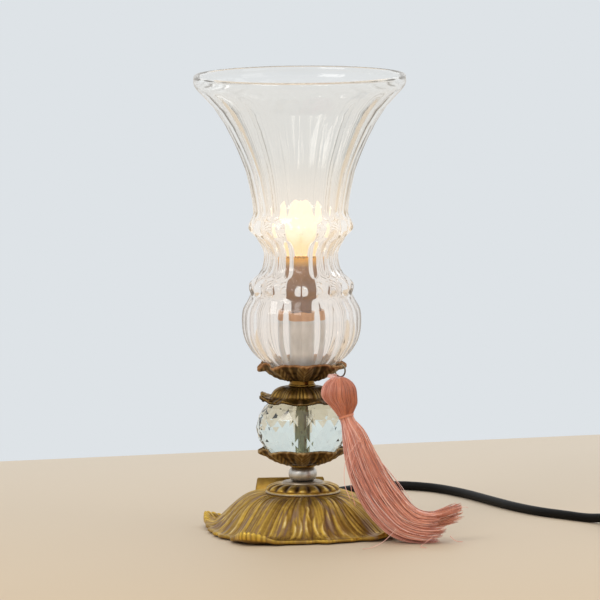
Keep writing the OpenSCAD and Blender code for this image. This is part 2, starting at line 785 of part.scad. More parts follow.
// The tassel. Its ring goes round the web of the eye, and its loop round the ring's lowest point.
web_u = eye_reach + eye_bore_r + eye_web / 2;
web_z = eye_z + cup_wall / 2;
ring_drop = 2.6;
ring_z = web_z - ring_drop;
ring_x = web_u * cos(eye_turn);
ring_y = web_u * sin(eye_turn);
knot_z = ring_z - ring_r;
head_path = [[26.2, -33.5, knot_z - 10.7], [30.8, -34.5, 89.5]];
head_top_drop = 1;
skirt_path = [
    head_path[1], [32.6, -35.3, 83.6], [36.6, -37.3, 74.5], [40.3, -40, 62.5], [45, -43, 50],
    [52, -47.2, 36.5], [60.5, -51.5, 25], [70, -55, 15.8], [82, -57.2, 11], [96, -57.2, 10.8], [111, -55, 14]
];
skirt_radii = [neck_tie_r, neck_tie_r + 0.2, 8.8, 11.2, 13, 14.2, 14.6, 13.8, 12.3, 11.8, skirt_r];
module tassel_ring() {
    color([0.55, 0.5, 0.42])
        translate([ring_x, ring_y, ring_z])
            rotate([90, 0, eye_turn])
                rotate_extrude() translate([ring_r, 0]) circle(r = ring_wire_r, $fn = 24);
}
module tassel_loop() {
    loop_r = 1.5;
    thread_r = 0.6;
    color([0.9, 0.68, 0.64])
        translate([ring_x, ring_y, knot_z])
            rotate([0, 0, eye_turn]) rotate([0, 90, 0])
                rotate_extrude() translate([loop_r, 0]) circle(r = thread_r, $fn = 16);
}
module tassel_head() {
    top = head_path[0];
    neck = head_path[1];
    line = [for (t = [0 : 0.125 : 1])
        let (lift = min(head_r - head_top_drop, head_r * cos(180 * min(1, t * 1.02))))
        t < 0.999
            ? [mix(top[0], neck[0], pow(t, 2)), mix(top[1], neck[1], pow(t, 1.5)), top[2] + lift]
            : neck];
    radii = [2.5, 5.6, 9.5, 12.1, head_r, 12, 9.8, 7, neck_tie_r];
    color([0.85, 0.5, 0.42])
        skin([for (i = [8 : -1 : 0])
            [for (j = [0 : 23])
                let (a = 15 * j, r = radii[i] * (1 + 0.015 * cos(12 * a)))
                [line[i][0] + r * cos(a), line[i][1] + r * sin(a), line[i][2]]]]);
}
module tassel_tie() {
    thread_r = 0.3;
    turns = 2.5;
    pitch = 2 * thread_r + 0.45;
    wind_r = neck_tie_r + thread_r + seat_gap;
    middle = mix(skirt_path[0], skirt_path[1], 0.62);
    way = unit(skirt_path[1] - skirt_path[0]);
    side = unit(cross([0, 1, 0], way));
    other = cross(way, side);
    line = [for (i = [0 : 24 * turns])
        middle + wind_r * (side * cos(15 * i) + other * sin(15 * i)) + way * pitch * (i / 24 - turns / 2)];
    echo(tassel_tie_gap = pitch - 2 * thread_r);
    color([0.8, 0.45, 0.4]) tube(line, thread_r, 6, way);
}
module tassel_skirt() {
    line = smooth_line(skirt_path, 2);
    marks = [for (k = [0 : len(skirt_radii) - 1]) [k, skirt_radii[k]]];
    radii = [for (i = [0 : len(line) - 1]) lookup(i / 2, marks)];
    rings = tube_rings(line, 1, 30, [0, 1, 0]);
    color([0.85, 0.52, 0.45])
        skin([for (i = [0 : len(line) - 1])
            [for (j = [0 : 29])
                let (
                    strand = 1 - 0.1 * smooth(i / 6) * pow(abs(cos(12 * j * 3 + 8 * i)), 2),
                    p = line[i] + radii[i] * strand * (rings[i][j] - line[i])
                )
                [p[0], p[1], i == 0 ? line[0][2] : max(p[2], 0.4)]]]);
}

// The mains lead: straight out of the grip, down to the table, and round to the switch
grip_neck_r = 5;
grip_flange_r = 6.4;
flange_room = 0.3;
grip_l = 25;
grip_out = boss_end + 1.6;
grip_tip = grip_out + grip_l;
function lead_point(d) = [d * cos(lead_turn), d * sin(lead_turn), lead_z];
switch_mid = [251, -4];
switch_lead_z = 5.6;
switch_turn = -45;
function from_switch(d) = [
    switch_mid[0] + d * cos(switch_turn), switch_mid[1] + d * sin(switch_turn), switch_lead_z
];
cord_path = [
    lead_point(grip_tip + join_gap),
    lead_point(grip_tip + 6),
    [-7.5, 112, 7],
    [-7, 128, 4.2],
    [-4, 144, lead_r],
    [4, 162, lead_r],
    [15, 180, lead_r],
    [29, 197, lead_r],
    [45, 212, lead_r],
    [58, 221, lead_r],
    [72, 224, lead_r],
    [88, 217, lead_r],
    [103, 203, lead_r],
    [120, 176, lead_r],
    [137, 140, lead_r],
    [154, 105, lead_r],
    [171, 78, lead_r],
    [190, 57, lead_r],
    [206, 41, lead_r],
    from_switch(-switch_l / 2 - 8),
    from_switch(-switch_l / 2 + 5)
];
module cord_grip() {
    hole = lead_r + run_gap;
    color([0.08, 0.08, 0.08])
        rotate([0, 0, lead_turn])
            translate([0, 0, lead_z])
                rotate([0, 90, 0])
                    rotate_extrude()
                        polygon([
                            [hole, crest_y], [grip_neck_r, crest_y], [grip_neck_r, boss_end],
                            [grip_flange_r, boss_end], [grip_flange_r, grip_out],
                            [5.6, grip_out], [4.2, grip_tip], [hole, grip_tip]
                        ]);
}
module lead_tail() {
    color([0.07, 0.07, 0.07]) bar(lead_point(tail_end), lead_point(grip_tip), lead_r);
}
module lamp_cord() {
    line = smooth_line(cord_path, 2);
    echo(lamp_cord_length = line_length(line));
    color([0.06, 0.06, 0.06]) tube(line, lead_r, 8);
}

// The switch in the lead: two covers, a rocker on a pin, contacts and screws
pivot_r = 1.5;
rocker_l = 17;
rocker_w = 9;
rocker_gap = 0.35;
cover_wall = 2;
module at_switch() {
    translate([switch_mid[0], switch_mid[1], 0]) rotate([0, 0, switch_turn]) children();
}
module switch_cover(low, high, floor_z) {
    difference() {
        translate([0, 0, low]) linear_extrude(high - low)
            union() {
                square([switch_l * 0.6, switch_w], center = true);
                square([switch_l, switch_w * 0.62], center = true);
            }
        translate([0, 0, floor_z]) linear_extrude(switch_h / 2 - cover_wall)
            square([switch_l * 0.6 - 2 * cover_wall, switch_w - 2 * cover_wall], center = true);
        translate([-switch_l, 0, switch_lead_z])
            rotate([0, 90, 0]) cylinder(r = lead_r + 0.1, h = 2 * switch_l);
        for (x = [-1, 1])
            translate([x * switch_l * 0.4, 0.22 * switch_w, -1]) cylinder(r = 1.3, h = switch_h + 2);
    }
}
switch_split = 8;
module switch_bottom() {
    color([0.09, 0.09, 0.09]) at_switch() switch_cover(0, switch_split, cover_wall);
}
module switch_top() {
    color([0.09, 0.09, 0.09])
        at_switch()
            difference() {
                switch_cover(switch_split, switch_h, switch_split - cover_wall);
                translate([0, 0, switch_h / 2 + 3])
                    cube([rocker_l + 2 * rocker_gap, rocker_w + 2 * rocker_gap, switch_h], center = true);
                translate([0, -switch_w, pivot_z]) rotate([-90, 0, 0]) cylinder(r = pivot_r, h = 2 * switch_w);
            }
}
rocker_tilt = 12;
pivot_z = switch_h - 2.6;
module rocker_solid(l, w) {
    rotate([90, 0, 0])
        translate([0, 0, -w / 2])
            linear_extrude(w)
                polygon([
                    [-l / 2 + 1.4, -2.4], [-1.5, -4.4], [1.5, -4.4], [l / 2 - 1.4, -2.4],
                    [l / 2 - 0.6, 1.6], [0, 2.6], [-l / 2 + 0.6, 1.6]
                ]);
}
module switch_rocker() {
    color([0.14, 0.14, 0.14])
        at_switch()
            translate([0, 0, pivot_z])
                rotate([0, rocker_tilt, 0])
                    difference() {
                        rocker_solid(rocker_l, rocker_w);
                        rotate([90, 0, 0]) cylinder(r = pivot_r + 0.05, h = 2 * rocker_w, center = true);
                    }
}
module switch_pivot() {
    color([0.7, 0.7, 0.7])
        at_switch()
            translate([0, 0, pivot_z])
                rotate([90, 0, 0]) cylinder(r = pivot_r, h = switch_w - 1, center = true);
}
module switch_contacts() {
    color([0.8, 0.65, 0.3])
        at_switch()
            for (x = [-1, 1])
                translate([x * 11, 0, cover_wall])
                    translate([-3, -switch_w / 2 + cover_wall + 0.2, 0]) cube([6, 5, 5]);
}
module switch_screws() {
    color([0.7, 0.7, 0.7])
        at_switch()
            for (x = [-1, 1])
                translate([x * switch_l * 0.4, 0.22 * switch_w, 0.6]) cylinder(r = 1.2, h = switch_h - 3);
}

// The coil: turns that spiral in on the table, climb a layer and spiral out again
coil_mid = [328, -15];
coil_start = 225;
coil_layer_turns = 2.75;
coil_step = lead_d + coil_gap;
coil_ring_steps = 24;
coil_lead = lead_d;
coil_in_r = coil_r - coil_step * coil_layer_turns / 2;
function coil_at(t) =
    let (
        from_turn = abs(t - coil_layer_turns),
        r = coil_in_r + coil_step * from_turn,
        climb = smooth((t - coil_layer_turns + 0.25) / 0.5)
    )
    [coil_mid[0] + r * cos(coil_start + 360 * t), coil_mid[1] + r * sin(coil_start + 360 * t),
        lead_r + coil_step * climb];
coil_steps = 2 * coil_layer_turns * coil_ring_steps;
coil_turns_line = [for (i = [0 : coil_steps]) coil_at(i / coil_ring_steps)];
coil_first = coil_turns_line[0];
coil_last = coil_turns_line[len(coil_turns_line) - 1];
coil_in_way = unit([coil_turns_line[1][0] - coil_first[0], coil_turns_line[1][1] - coil_first[1], 0]);
coil_out_way = unit(coil_last - coil_turns_line[len(coil_turns_line) - 2]);
coil_entry = coil_first - coil_lead * coil_in_way;
coil_exit = coil_last + coil_lead * coil_out_way;
coil_line = concat([coil_entry], coil_turns_line, [coil_exit]);
function coil_gap_from(i) =
    min([for (k = [i + 8 : len(coil_turns_line) - 1]) norm(coil_turns_line[k] - coil_turns_line[i])]);
module switch_cord() {
    away = from_switch(switch_l / 2 - 5);
    line = smooth_line([
        away, from_switch(switch_l / 2 + 4), coil_entry - 6 * coil_in_way, coil_entry - 1.5 * coil_in_way,
        coil_entry - join_gap * coil_in_way
    ], 3);
    echo(switch_cord_length = line_length(line));
    color([0.06, 0.06, 0.06]) tube(line, lead_r, 8);
}
module cord_coil() {
    gaps = [for (i = [0 : 2 : len(coil_turns_line) - 10]) coil_gap_from(i)];
    echo(coil_least_gap = min(gaps) - lead_d, coil_length = line_length(coil_turns_line) + 2 * coil_lead);
    color([0.06, 0.06, 0.06]) tube(coil_line, lead_r, 6);
}
module coil_tie() {
    tie_turn = 100;
    band_t = 1;
    inner = coil_in_r - lead_r - band_t - 0.1;
    outer = coil_in_r + coil_step * coil_layer_turns + lead_r + band_t + 0.1;
    high = 2 * lead_d + coil_gap;
    color([0.15, 0.15, 0.15])
        translate([coil_mid[0], coil_mid[1], 0])
            rotate([0, 0, tie_turn])
                translate([inner, -3, 0])
                    difference() {
                        cube([outer - inner, 6, high + band_t]);
                        translate([band_t, -1, -1]) cube([outer - inner - 2 * band_t, 8, high + 1]);
                    }
}

// The plug lies beside the coil
plug_turn = 135;
plug_dist = 58;
plug_r = 9;
function from_exit(d, z) = [
    coil_exit[0] + d * cos(plug_turn), coil_exit[1] + d * sin(plug_turn), z
];
plug_z = plug_r;
plug_start = from_exit(plug_dist, plug_z);
module plug_cord() {
    line = smooth_line([
        coil_exit + join_gap * coil_out_way, coil_exit + 2.5 * coil_out_way,
        from_exit(7, coil_exit[2] - 0.4), from_exit(17, coil_exit[2] - 4),
        from_exit(28, lead_r), from_exit(37, lead_r + 0.6), from_exit(46, lead_r + 3.6),
        from_exit(plug_dist - 4, plug_z - 0.3), from_exit(plug_dist, plug_z)
    ], 2);
    echo(plug_cord_length = line_length(line));
    color([0.06, 0.06, 0.06]) tube(line, lead_r, 8);
}
module at_plug() {
    translate(plug_start) rotate([0, 0, plug_turn]) children();
}
blade_w = 6.35;
blade_t = 1.5;
blade_apart = 12.7;
module plug_body() {
    color([0.08, 0.08, 0.08])
        at_plug()
            difference() {
                union() {
                    rotate([0, 90, 0]) cylinder(r1 = 4.4, r2 = 6.5, h = plug_l * 0.4);
                    translate([plug_l * 0.35, 0, 0])
                        rotate([0, 90, 0])
                            linear_extrude(plug_l * 0.65)
                                union() {
                                    square([2 * plug_r - 4, 24], center = true);
                                    square([2 * plug_r, 19], center = true);
                                }
                }
                for (y = [-0.5, 0.5])
                    translate([plug_l - 12, y * blade_apart - blade_t / 2, -blade_w / 2])
                        cube([20, blade_t, blade_w]);
            }
}
module plug_blades() {
    color([0.8, 0.68, 0.35])
        at_plug()
            for (y = [-0.5, 0.5])
                translate([plug_l - 12, y * blade_apart - blade_t / 2, -blade_w / 2])
                    cube([12 + blade_l, blade_t, blade_w]);
}

base_felt();
base_casting();
bottom_nut();
lock_washer();
bottom_washer();
threaded_tube();
base_collar();
ball_spacer();
lower_neck_ring();
lower_leaf_cup();
crystal_ball();
crystal_pad();
upper_leaf_cap();
upper_neck_ring();
shade_leaf_cup();
shade_seat_washer();
glass_shade();
shade_top_washer();
holder_cup();
holder_nut();
holder_ring();
holder_sleeve();
holder_stem();
socket_insulator();
screw_shell();
center_contact();
contact_rivets();
live_lead();
neutral_lead();
bulb_contact();
bulb_cap();
bulb_glass();
bulb_stem();
bulb_filament();
tassel_ring();
tassel_loop();
tassel_head();
tassel_tie();
tassel_skirt();
cord_grip();
lead_tail();
lamp_cord();
switch_bottom();
switch_top();
switch_rocker();
switch_pivot();
switch_contacts();
switch_screws();
switch_cord();
cord_coil();
coil_tie();
plug_cord();
plug_body();
plug_blades();
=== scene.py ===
# Table lamp: the looks of every piece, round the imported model. Metres, +Z up.
import math
import random
import bpy
from mathutils import Matrix, Vector, noise


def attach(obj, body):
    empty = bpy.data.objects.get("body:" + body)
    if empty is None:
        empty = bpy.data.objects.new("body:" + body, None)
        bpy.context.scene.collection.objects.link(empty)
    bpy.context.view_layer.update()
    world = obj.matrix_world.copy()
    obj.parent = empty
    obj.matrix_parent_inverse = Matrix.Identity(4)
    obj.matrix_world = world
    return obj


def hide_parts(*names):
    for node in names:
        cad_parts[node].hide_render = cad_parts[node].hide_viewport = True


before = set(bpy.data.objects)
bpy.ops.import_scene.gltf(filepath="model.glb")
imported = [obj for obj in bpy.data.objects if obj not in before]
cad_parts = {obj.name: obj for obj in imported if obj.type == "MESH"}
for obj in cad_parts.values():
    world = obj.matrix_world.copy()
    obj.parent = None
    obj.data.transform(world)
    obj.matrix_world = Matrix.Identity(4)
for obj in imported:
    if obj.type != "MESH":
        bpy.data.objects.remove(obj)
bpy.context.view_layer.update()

MM = 0.001
TAU = 2 * math.pi

# The photograph's frame and how the camera stood
IMAGE_PX = 600
PX_PER_MM = 1.40
SENSOR_MM = 36
VIEW_ELEVATION = 6.4
VIEW_DISTANCE = 6.0
VIEW_ROLL = -0.45
AIM = Vector((-1 * MM, 0, 167.6 * MM))

# The table: its far edge behind the lamp, and how far the edge is turned
EDGE_BEHIND = 470 * MM
EDGE_TURN = -16
TABLE_REACH = 2.4

# The lead's sizes and route, in millimetres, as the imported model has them
LEAD_D = 6.5
LEAD_TURN = 94
LEAD_Z = 9.5
GRIP_END = 90.6
SWITCH_MID = (251, -4)
SWITCH_TURN = -45
SWITCH_Z = 5.6
COIL_MID = (328, -15)
COIL_R = 36
COIL_GAP = 0.7
COIL_START = 225
LAYER_TURNS = 2.75
COIL_LAYERS = 2
TURN_POINTS = 24
PLUG_TURN = 135


def polar(r, degrees, z=0.0):
    a = math.radians(degrees)
    return Vector((r * math.cos(a), r * math.sin(a), z))


def mix(a, b, t):
    return a + (b - a) * t


def smooth(t):
    c = min(1.0, max(0.0, t))
    return c * c * (3 - 2 * c)


def lobe(degrees, n, power):
    return ((1 + math.cos(math.radians(n * degrees))) / 2) ** power


# The camera, the table and the lights

def make_camera():
    data = bpy.data.cameras.new("camera")
    camera = bpy.data.objects.new("camera", data)
    bpy.context.scene.collection.objects.link(camera)
    bpy.context.scene.camera = camera
    lift = math.radians(VIEW_ELEVATION)
    camera.location = AIM + VIEW_DISTANCE * Vector((0, -math.cos(lift), math.sin(lift)))
    look = Matrix.Rotation(math.radians(90) - lift, 4, "X")
    camera.rotation_euler = (look @ Matrix.Rotation(math.radians(VIEW_ROLL), 4, "Z")).to_euler()
    data.sensor_width = SENSOR_MM
    data.lens = SENSOR_MM * VIEW_DISTANCE / (IMAGE_PX / PX_PER_MM * MM)
    data.clip_end = 50


def new_object(name, mesh, body="lamp", material=None, smooth_faces=True):
    piece = bpy.data.objects.new(name, mesh)
    bpy.context.scene.collection.objects.link(piece)
    if smooth_faces:
        for face in mesh.polygons:
            face.use_smooth = True
    if material:
        mesh.materials.append(material)
    if body:
        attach(piece, body)
    return piece


class Nodes:
    """A material's node tree, with one short call for each kind of node."""

    def __init__(self, name):
        self.material = bpy.data.materials.new(name)
        self.material.use_nodes = True
        self.tree = self.material.node_tree
        self.shader = self.tree.nodes["Principled BSDF"]

    def add(self, kind, **values):
        node = self.tree.nodes.new(kind)
        for key, value in values.items():
            setattr(node, key, value)
        return node

    def link(self, start, end):
        self.tree.links.new(start, end)

    def set(self, **values):
        for key, value in values.items():
            self.shader.inputs[key.replace("_", " ")].default_value = value

    def coords(self):
        return self.add("ShaderNodeTexCoord").outputs["Object"]

    def noise(self, scale, detail=3.0, rough=0.55, stretch=None, distort=0.0):
        node = self.add("ShaderNodeTexNoise")
        node.inputs["Scale"].default_value = scale
        node.inputs["Detail"].default_value = detail
        node.inputs["Roughness"].default_value = rough
        node.inputs["Distortion"].default_value = distort
        self.link(self.stretched(stretch), node.inputs["Vector"])
        return node.outputs["Fac"]

    def stretched(self, stretch):
        if stretch is None:
            return self.coords()
        node = self.add("ShaderNodeMapping")
        node.inputs["Scale"].default_value = stretch
        self.link(self.coords(), node.inputs["Vector"])
        return node.outputs["Vector"]

    def attribute(self, name):
        return self.add("ShaderNodeAttribute", attribute_name=name).outputs["Fac"]

    def ramp(self, value, stops):
        node = self.add("ShaderNodeValToRGB")
        marks = node.color_ramp.elements
        while len(marks) < len(stops):
            marks.new(0.5)
        for mark, (place, colour) in zip(marks, stops):
            mark.position = place
            mark.color = (*colour, 1) if len(colour) == 3 else colour
        self.link(value, node.inputs["Fac"])
        return node.outputs["Color"]

    def math(self, operation, a, b):
        node = self.add("ShaderNodeMath", operation=operation)
        for socket, value in zip(node.inputs, (a, b)):
            if isinstance(value, (int, float)):
                socket.default_value = value
            else:
                self.link(value, socket)
        return node.outputs["Value"]

    def blend(self, a, b, share):
        node = self.add("ShaderNodeMix", data_type="RGBA")
        for socket, value in ((node.inputs[0], share), (node.inputs[6], a), (node.inputs[7], b)):
            if isinstance(value, tuple):
                socket.default_value = (*value, 1)
            elif isinstance(value, (int, float)):
                socket.default_value = value
            else:
                self.link(value, socket)
        return node.outputs[2]

    def colour(self, output):
        self.link(output, self.shader.inputs["Base Color"])

    def roughness(self, value, low, high):
        node = self.add("ShaderNodeMapRange")
        node.inputs["To Min"].default_value = low
        node.inputs["To Max"].default_value = high
        self.link(value, node.inputs["Value"])
        self.link(node.outputs["Result"], self.shader.inputs["Roughness"])

    def bump(self, height, distance, strength=1.0):
        node = self.add("ShaderNodeBump")
        node.inputs["Distance"].default_value = distance
        node.inputs["Strength"].default_value = strength
        self.link(height, node.inputs["Height"])
        before = self.shader.inputs["Normal"].links
        if before:
            self.link(before[0].from_socket, node.inputs["Normal"])
        self.link(node.outputs["Normal"], self.shader.inputs["Normal"])


def srgb(r, g, b):
    """A colour given as the screen shows it, 0 to 255, as Blender's linear value."""
    def linear(v):
        v = v / 255
        return v / 12.92 if v <= 0.04045 else ((v + 0.055) / 1.055) ** 2.4
    return (linear(r), linear(g), linear(b))


WALL = srgb(222, 227, 231)
TABLE_NEAR = srgb(203, 180, 148)
TABLE_FAR = srgb(206, 192, 172)


def table_material():
    n = Nodes("table")
    geometry = n.add("ShaderNodeSeparateXYZ")
    n.link(n.coords(), geometry.inputs[0])
    away = n.add("ShaderNodeMapRange")
    away.inputs["From Min"].default_value = -0.35
    away.inputs["From Max"].default_value = 0.45
    n.link(geometry.outputs["Y"], away.inputs["Value"])
    shade = n.blend(TABLE_NEAR, TABLE_FAR, away.outputs["Result"])
    n.colour(n.blend(shade, TABLE_FAR, n.math("MULTIPLY", n.noise(3, 2), 0.15)))
    n.set(Roughness=0.62)
    return n.material


def make_table():
    """One flat face, whose far side runs a little behind the lamp as the photo's table does."""
    turn = math.tan(math.radians(EDGE_TURN))
    corners = [
        (-TABLE_REACH, -TABLE_REACH, 0),
        (TABLE_REACH, -TABLE_REACH, 0),
        (TABLE_REACH, EDGE_BEHIND - turn * TABLE_REACH, 0),
        (-TABLE_REACH, EDGE_BEHIND + turn * TABLE_REACH, 0),
    ]
    mesh = bpy.data.meshes.new("table")
    mesh.from_pydata(corners, [], [(0, 1, 2, 3)])
    new_object("table", mesh, body=None, material=table_material(), smooth_faces=False)


ROOM = [(0.0, (0.60, 0.55, 0.49)), (0.45, (0.70, 0.66, 0.61)), (0.52, (0.80, 0.80, 0.79)), (0.8, (0.92, 0.94, 0.96)),
        (1.0, (1.0, 1.0, 1.0))]


def make_world():
    """A plain pale wall to the eye and to glass, and an uneven room, darker in front, for other light."""
    world = bpy.data.worlds.new("room")
    bpy.context.scene.world = world
    world.use_nodes = True
    tree = world.node_tree
    background = tree.nodes["Background"]
    path = tree.nodes.new("ShaderNodeLightPath")
    seen = tree.nodes.new("ShaderNodeMath")
    seen.operation = "MAXIMUM"
    tree.links.new(path.outputs["Is Camera Ray"], seen.inputs[0])
    tree.links.new(path.outputs["Is Transmission Ray"], seen.inputs[1])
    coords = tree.nodes.new("ShaderNodeTexCoord")
    split = tree.nodes.new("ShaderNodeSeparateXYZ")
    tree.links.new(coords.outputs["Generated"], split.inputs[0])
    rise = tree.nodes.new("ShaderNodeMapRange")
    rise.inputs["From Min"].default_value = -1.0
    tree.links.new(split.outputs["Z"], rise.inputs["Value"])
    sides = tree.nodes.new("ShaderNodeValToRGB")
    marks = sides.color_ramp.elements
    while len(marks) < len(ROOM):
        marks.new(0.5)
    for mark, (place, colour) in zip(marks, ROOM):
        mark.position = place
        mark.color = (*colour, 1)
    tree.links.new(rise.outputs["Result"], sides.inputs["Fac"])
    front = tree.nodes.new("ShaderNodeMapRange")
    for socket, value in zip(("From Min", "From Max", "To Min", "To Max"), (-1.0, -0.86, 0.4, 1.0)):
        front.inputs[socket].default_value = value
    tree.links.new(split.outputs["Y"], front.inputs["Value"])
    dimmed = tree.nodes.new("ShaderNodeVectorMath")
    dimmed.operation = "SCALE"
    tree.links.new(sides.outputs["Color"], dimmed.inputs[0])
    tree.links.new(front.outputs["Result"], dimmed.inputs["Scale"])
    both = tree.nodes.new("ShaderNodeMix")
    both.data_type = "RGBA"
    tree.links.new(seen.outputs[0], both.inputs[0])
    tree.links.new(dimmed.outputs["Vector"], both.inputs[6])
    both.inputs[7].default_value = (*WALL, 1)
    tree.links.new(both.outputs[2], background.inputs["Color"])
    background.inputs["Strength"].default_value = 1.0


def area_light(name, place, aim, size, watts, colour=(1, 1, 1)):
    data = bpy.data.lights.new(name, "AREA")
    data.shape = "RECTANGLE"
    data.size, data.size_y = size
    data.energy = watts
    data.color = colour
    lamp = bpy.data.objects.new(name, data)
    bpy.context.scene.collection.objects.link(lamp)
    lamp.location = place
    lamp.rotation_euler = (Vector(aim) - Vector(place)).to_track_quat("-Z", "Y").to_euler()


def make_lights():
    area_light("window", (-1.6, -1.8, 1.9), (0, 0, 0.12), (1.4, 1.1), 19, (1.0, 0.98, 0.95))
    area_light("fill", (1.9, -1.2, 1.2), (0, 0, 0.12), (1.2, 1.4), 4, (1.0, 0.95, 0.9))
    area_light("back", (0.6, 1.9, 1.6), (0, 0, 0.2), (1.6, 0.7), 5, (0.95, 0.98, 1.0))


# The mains lead

def spline_curve(name, points, radius):
    """A round cord on one open spline through the points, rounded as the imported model's is."""
    data = bpy.data.curves.new(name, "CURVE")
    data.dimensions = "3D"
    data.bevel_depth = radius
    data.bevel_resolution = 6
    data.use_fill_caps = True
    data.resolution_u = 6
    spline = data.splines.new("BEZIER")
    spline.bezier_points.add(len(points) - 1)
    last = len(points) - 1
    for i, (bead, place) in enumerate(zip(spline.bezier_points, points)):
        way = (points[min(i + 1, last)] - points[max(i - 1, 0)]) / 6
        bead.co = place
        bead.handle_left = place - way
        bead.handle_right = place + way
    return data


def from_switch(d):
    a = math.radians(SWITCH_TURN)
    return Vector((SWITCH_MID[0] + d * math.cos(a), SWITCH_MID[1] + d * math.sin(a), SWITCH_Z))


def lead_route():
    """From the cord grip's tip along the table to the switch."""
    floor = LEAD_D / 2
    flat = [
        (4, 162), (15, 180), (29, 197), (45, 212), (58, 221), (72, 224), (88, 217), (103, 203),
        (120, 176), (137, 140), (154, 105), (171, 78), (190, 57), (206, 41)
    ]
    route = [polar(GRIP_END, LEAD_TURN, LEAD_Z), polar(GRIP_END + 6, LEAD_TURN, LEAD_Z)]
    route += [Vector((-7.5, 112, 7)), Vector((-7, 128, 4.2)), Vector((-4, 144, floor))]
    route += [Vector((x, y, floor)) for x, y in flat]
    return route + [from_switch(-39), from_switch(-26)]


def coil_at(t):
    """A point t turns round the coil, which winds in, climbs one layer and winds out."""
    step = LEAD_D + COIL_GAP
    r = COIL_R - step * LAYER_TURNS / 2 + step * abs(t - LAYER_TURNS)
    z = LEAD_D / 2 + step * smooth((t - LAYER_TURNS + 0.25) / 0.5)
    return Vector((COIL_MID[0], COIL_MID[1], 0)) + polar(r, COIL_START + 360 * t, z)


def coil_route():
    """From the switch through the coil to the plug."""
    steps = round(LAYER_TURNS * COIL_LAYERS * TURN_POINTS)
    turns = [coil_at(i / TURN_POINTS) for i in range(steps + 1)]
    way_in = (turns[1] - turns[0]).normalized()
    way_out = (turns[-1] - turns[-2]).normalized()
    entry = turns[0] - LEAD_D * way_in
    leave = turns[-1] + LEAD_D * way_out
    route = [from_switch(26), from_switch(35), entry - 6 * way_in, entry] + turns + [leave]
    for d, z in ((7, 10.05), (17, 6.45), (28, 3.25), (37, 3.85), (46, 6.85), (54, 8.7), (58, 9)):
        step = polar(d, PLUG_TURN)
        route.append(Vector((leave.x + step.x, leave.y + step.y, z)))
    return route


def make_cords(material):
    first = [p * MM for p in lead_route()]
    second = [p * MM for p in coil_route()]
    lead = new_object("mains_lead", spline_curve("mains_lead", first, LEAD_D / 2 * MM),
                      material=material, smooth_faces=False)
    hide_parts("lamp_cord")
    rest = new_object("wound_lead", spline_curve("wound_lead", second, LEAD_D / 2 * MM),
                      material=material, smooth_faces=False)
    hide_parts("switch_cord", "cord_coil", "plug_cord")


def lead_material():
    n = Nodes("black_lead")
    grain = n.noise(900, 2)
    n.colour(n.ramp(n.noise(60, 3), [(0.3, srgb(10, 8, 6)), (0.8, srgb(18, 15, 12))]))
    n.roughness(grain, 0.4, 0.55)
    n.set(Specular_IOR_Level=0.12)
    n.bump(grain, 0.05 * MM, 0.5)
    return n.material


# Shapes built from rings of points, with three shares kept at each point for the materials: relief
# runs from 0 in the hollows to 1 on the crests, and tone and streak are told by each material.

class Shape:
    def __init__(self):
        self.points = []
        self.faces = []
        self.relief = []
        self.tone = []
        self.streak = []

    def ring(self, points, relief=None, tone=None, streak=None):
        start = len(self.points)
        self.points += [tuple(p) for p in points]
        self.relief += relief if relief else [0.5] * len(points)
        self.tone += tone if isinstance(tone, list) else [tone or 0.0] * len(points)
        self.streak += streak if streak else [0.5] * len(points)
        return start

    def join(self, a, b, n):
        for j in range(n):
            k = (j + 1) % n
            self.faces.append((a + j, a + k, b + k, b + j))

    def skin(self, rings, loop=False, caps=True):
        """Rings are points, or (points, relief, tone, streak), anticlockwise seen against their way."""
        starts = [self.ring(*r) if isinstance(r, tuple) else self.ring(r) for r in rings]
        first = rings[0][0] if isinstance(rings[0], tuple) else rings[0]
        n = len(first)
        for a, b in zip(starts, starts[1:]):
            self.join(a, b, n)
        if loop:
            self.join(starts[-1], starts[0], n)
        elif caps:
            self.faces.append(tuple(reversed(range(starts[0], starts[0] + n))))
            self.faces.append(tuple(range(starts[-1], starts[-1] + n)))

    def tube(self, line, radius, sides=6, tone=0.0, relief=0.5, floor=None):
        """A thin tube along a line; radius is one number or one for each point."""
        rings = []
        side = None
        for i, p in enumerate(line):
            way = (line[min(i + 1, len(line) - 1)] - line[max(i - 1, 0)]).normalized()
            if side is None:
                side = way.cross(Vector((0, 0, 1) if abs(way.z) < 0.9 else (1, 0, 0))).normalized()
            side = (side - way * side.dot(way)).normalized()
            top = way.cross(side)
            r = radius[i] if isinstance(radius, list) else radius
            ring = [p + r * (math.cos(TAU * j / sides) * side + math.sin(TAU * j / sides) * top)
                    for j in range(sides)]
            if floor is not None:
                ring = [Vector((q.x, q.y, max(q.z, floor))) for q in ring]
            rings.append((ring, [relief] * sides, tone))
        self.skin(rings)

    def prism(self, outline, thickness, place):
        """A flat plate: an outline in its own x and z, pushed along its own y by a 4x4 place."""
        n = len(outline)
        front = self.ring([place @ Vector((x, 0, z)) for x, z in outline])
        back = self.ring([place @ Vector((x, thickness, z)) for x, z in outline])
        self.join(front, back, n)
        self.faces.append(tuple(reversed(range(front, front + n))))
        self.faces.append(tuple(range(back, back + n)))

    def mesh(self, name, scale=MM):
        mesh = bpy.data.meshes.new(name)
        mesh.from_pydata([tuple(c * scale for c in p) for p in self.points], [], self.faces)
        for key, values in (("relief", self.relief), ("tone", self.tone), ("streak", self.streak)):
            layer = mesh.attributes.new(key, "FLOAT", "POINT")
            layer.data.foreach_set("value", values)
        mesh.update()
        return mesh


def steps(n):
    return [360 * i / n for i in range(n)]


def spans(low, high, n):
    return [mix(low, high, i / n) for i in range(n + 1)]


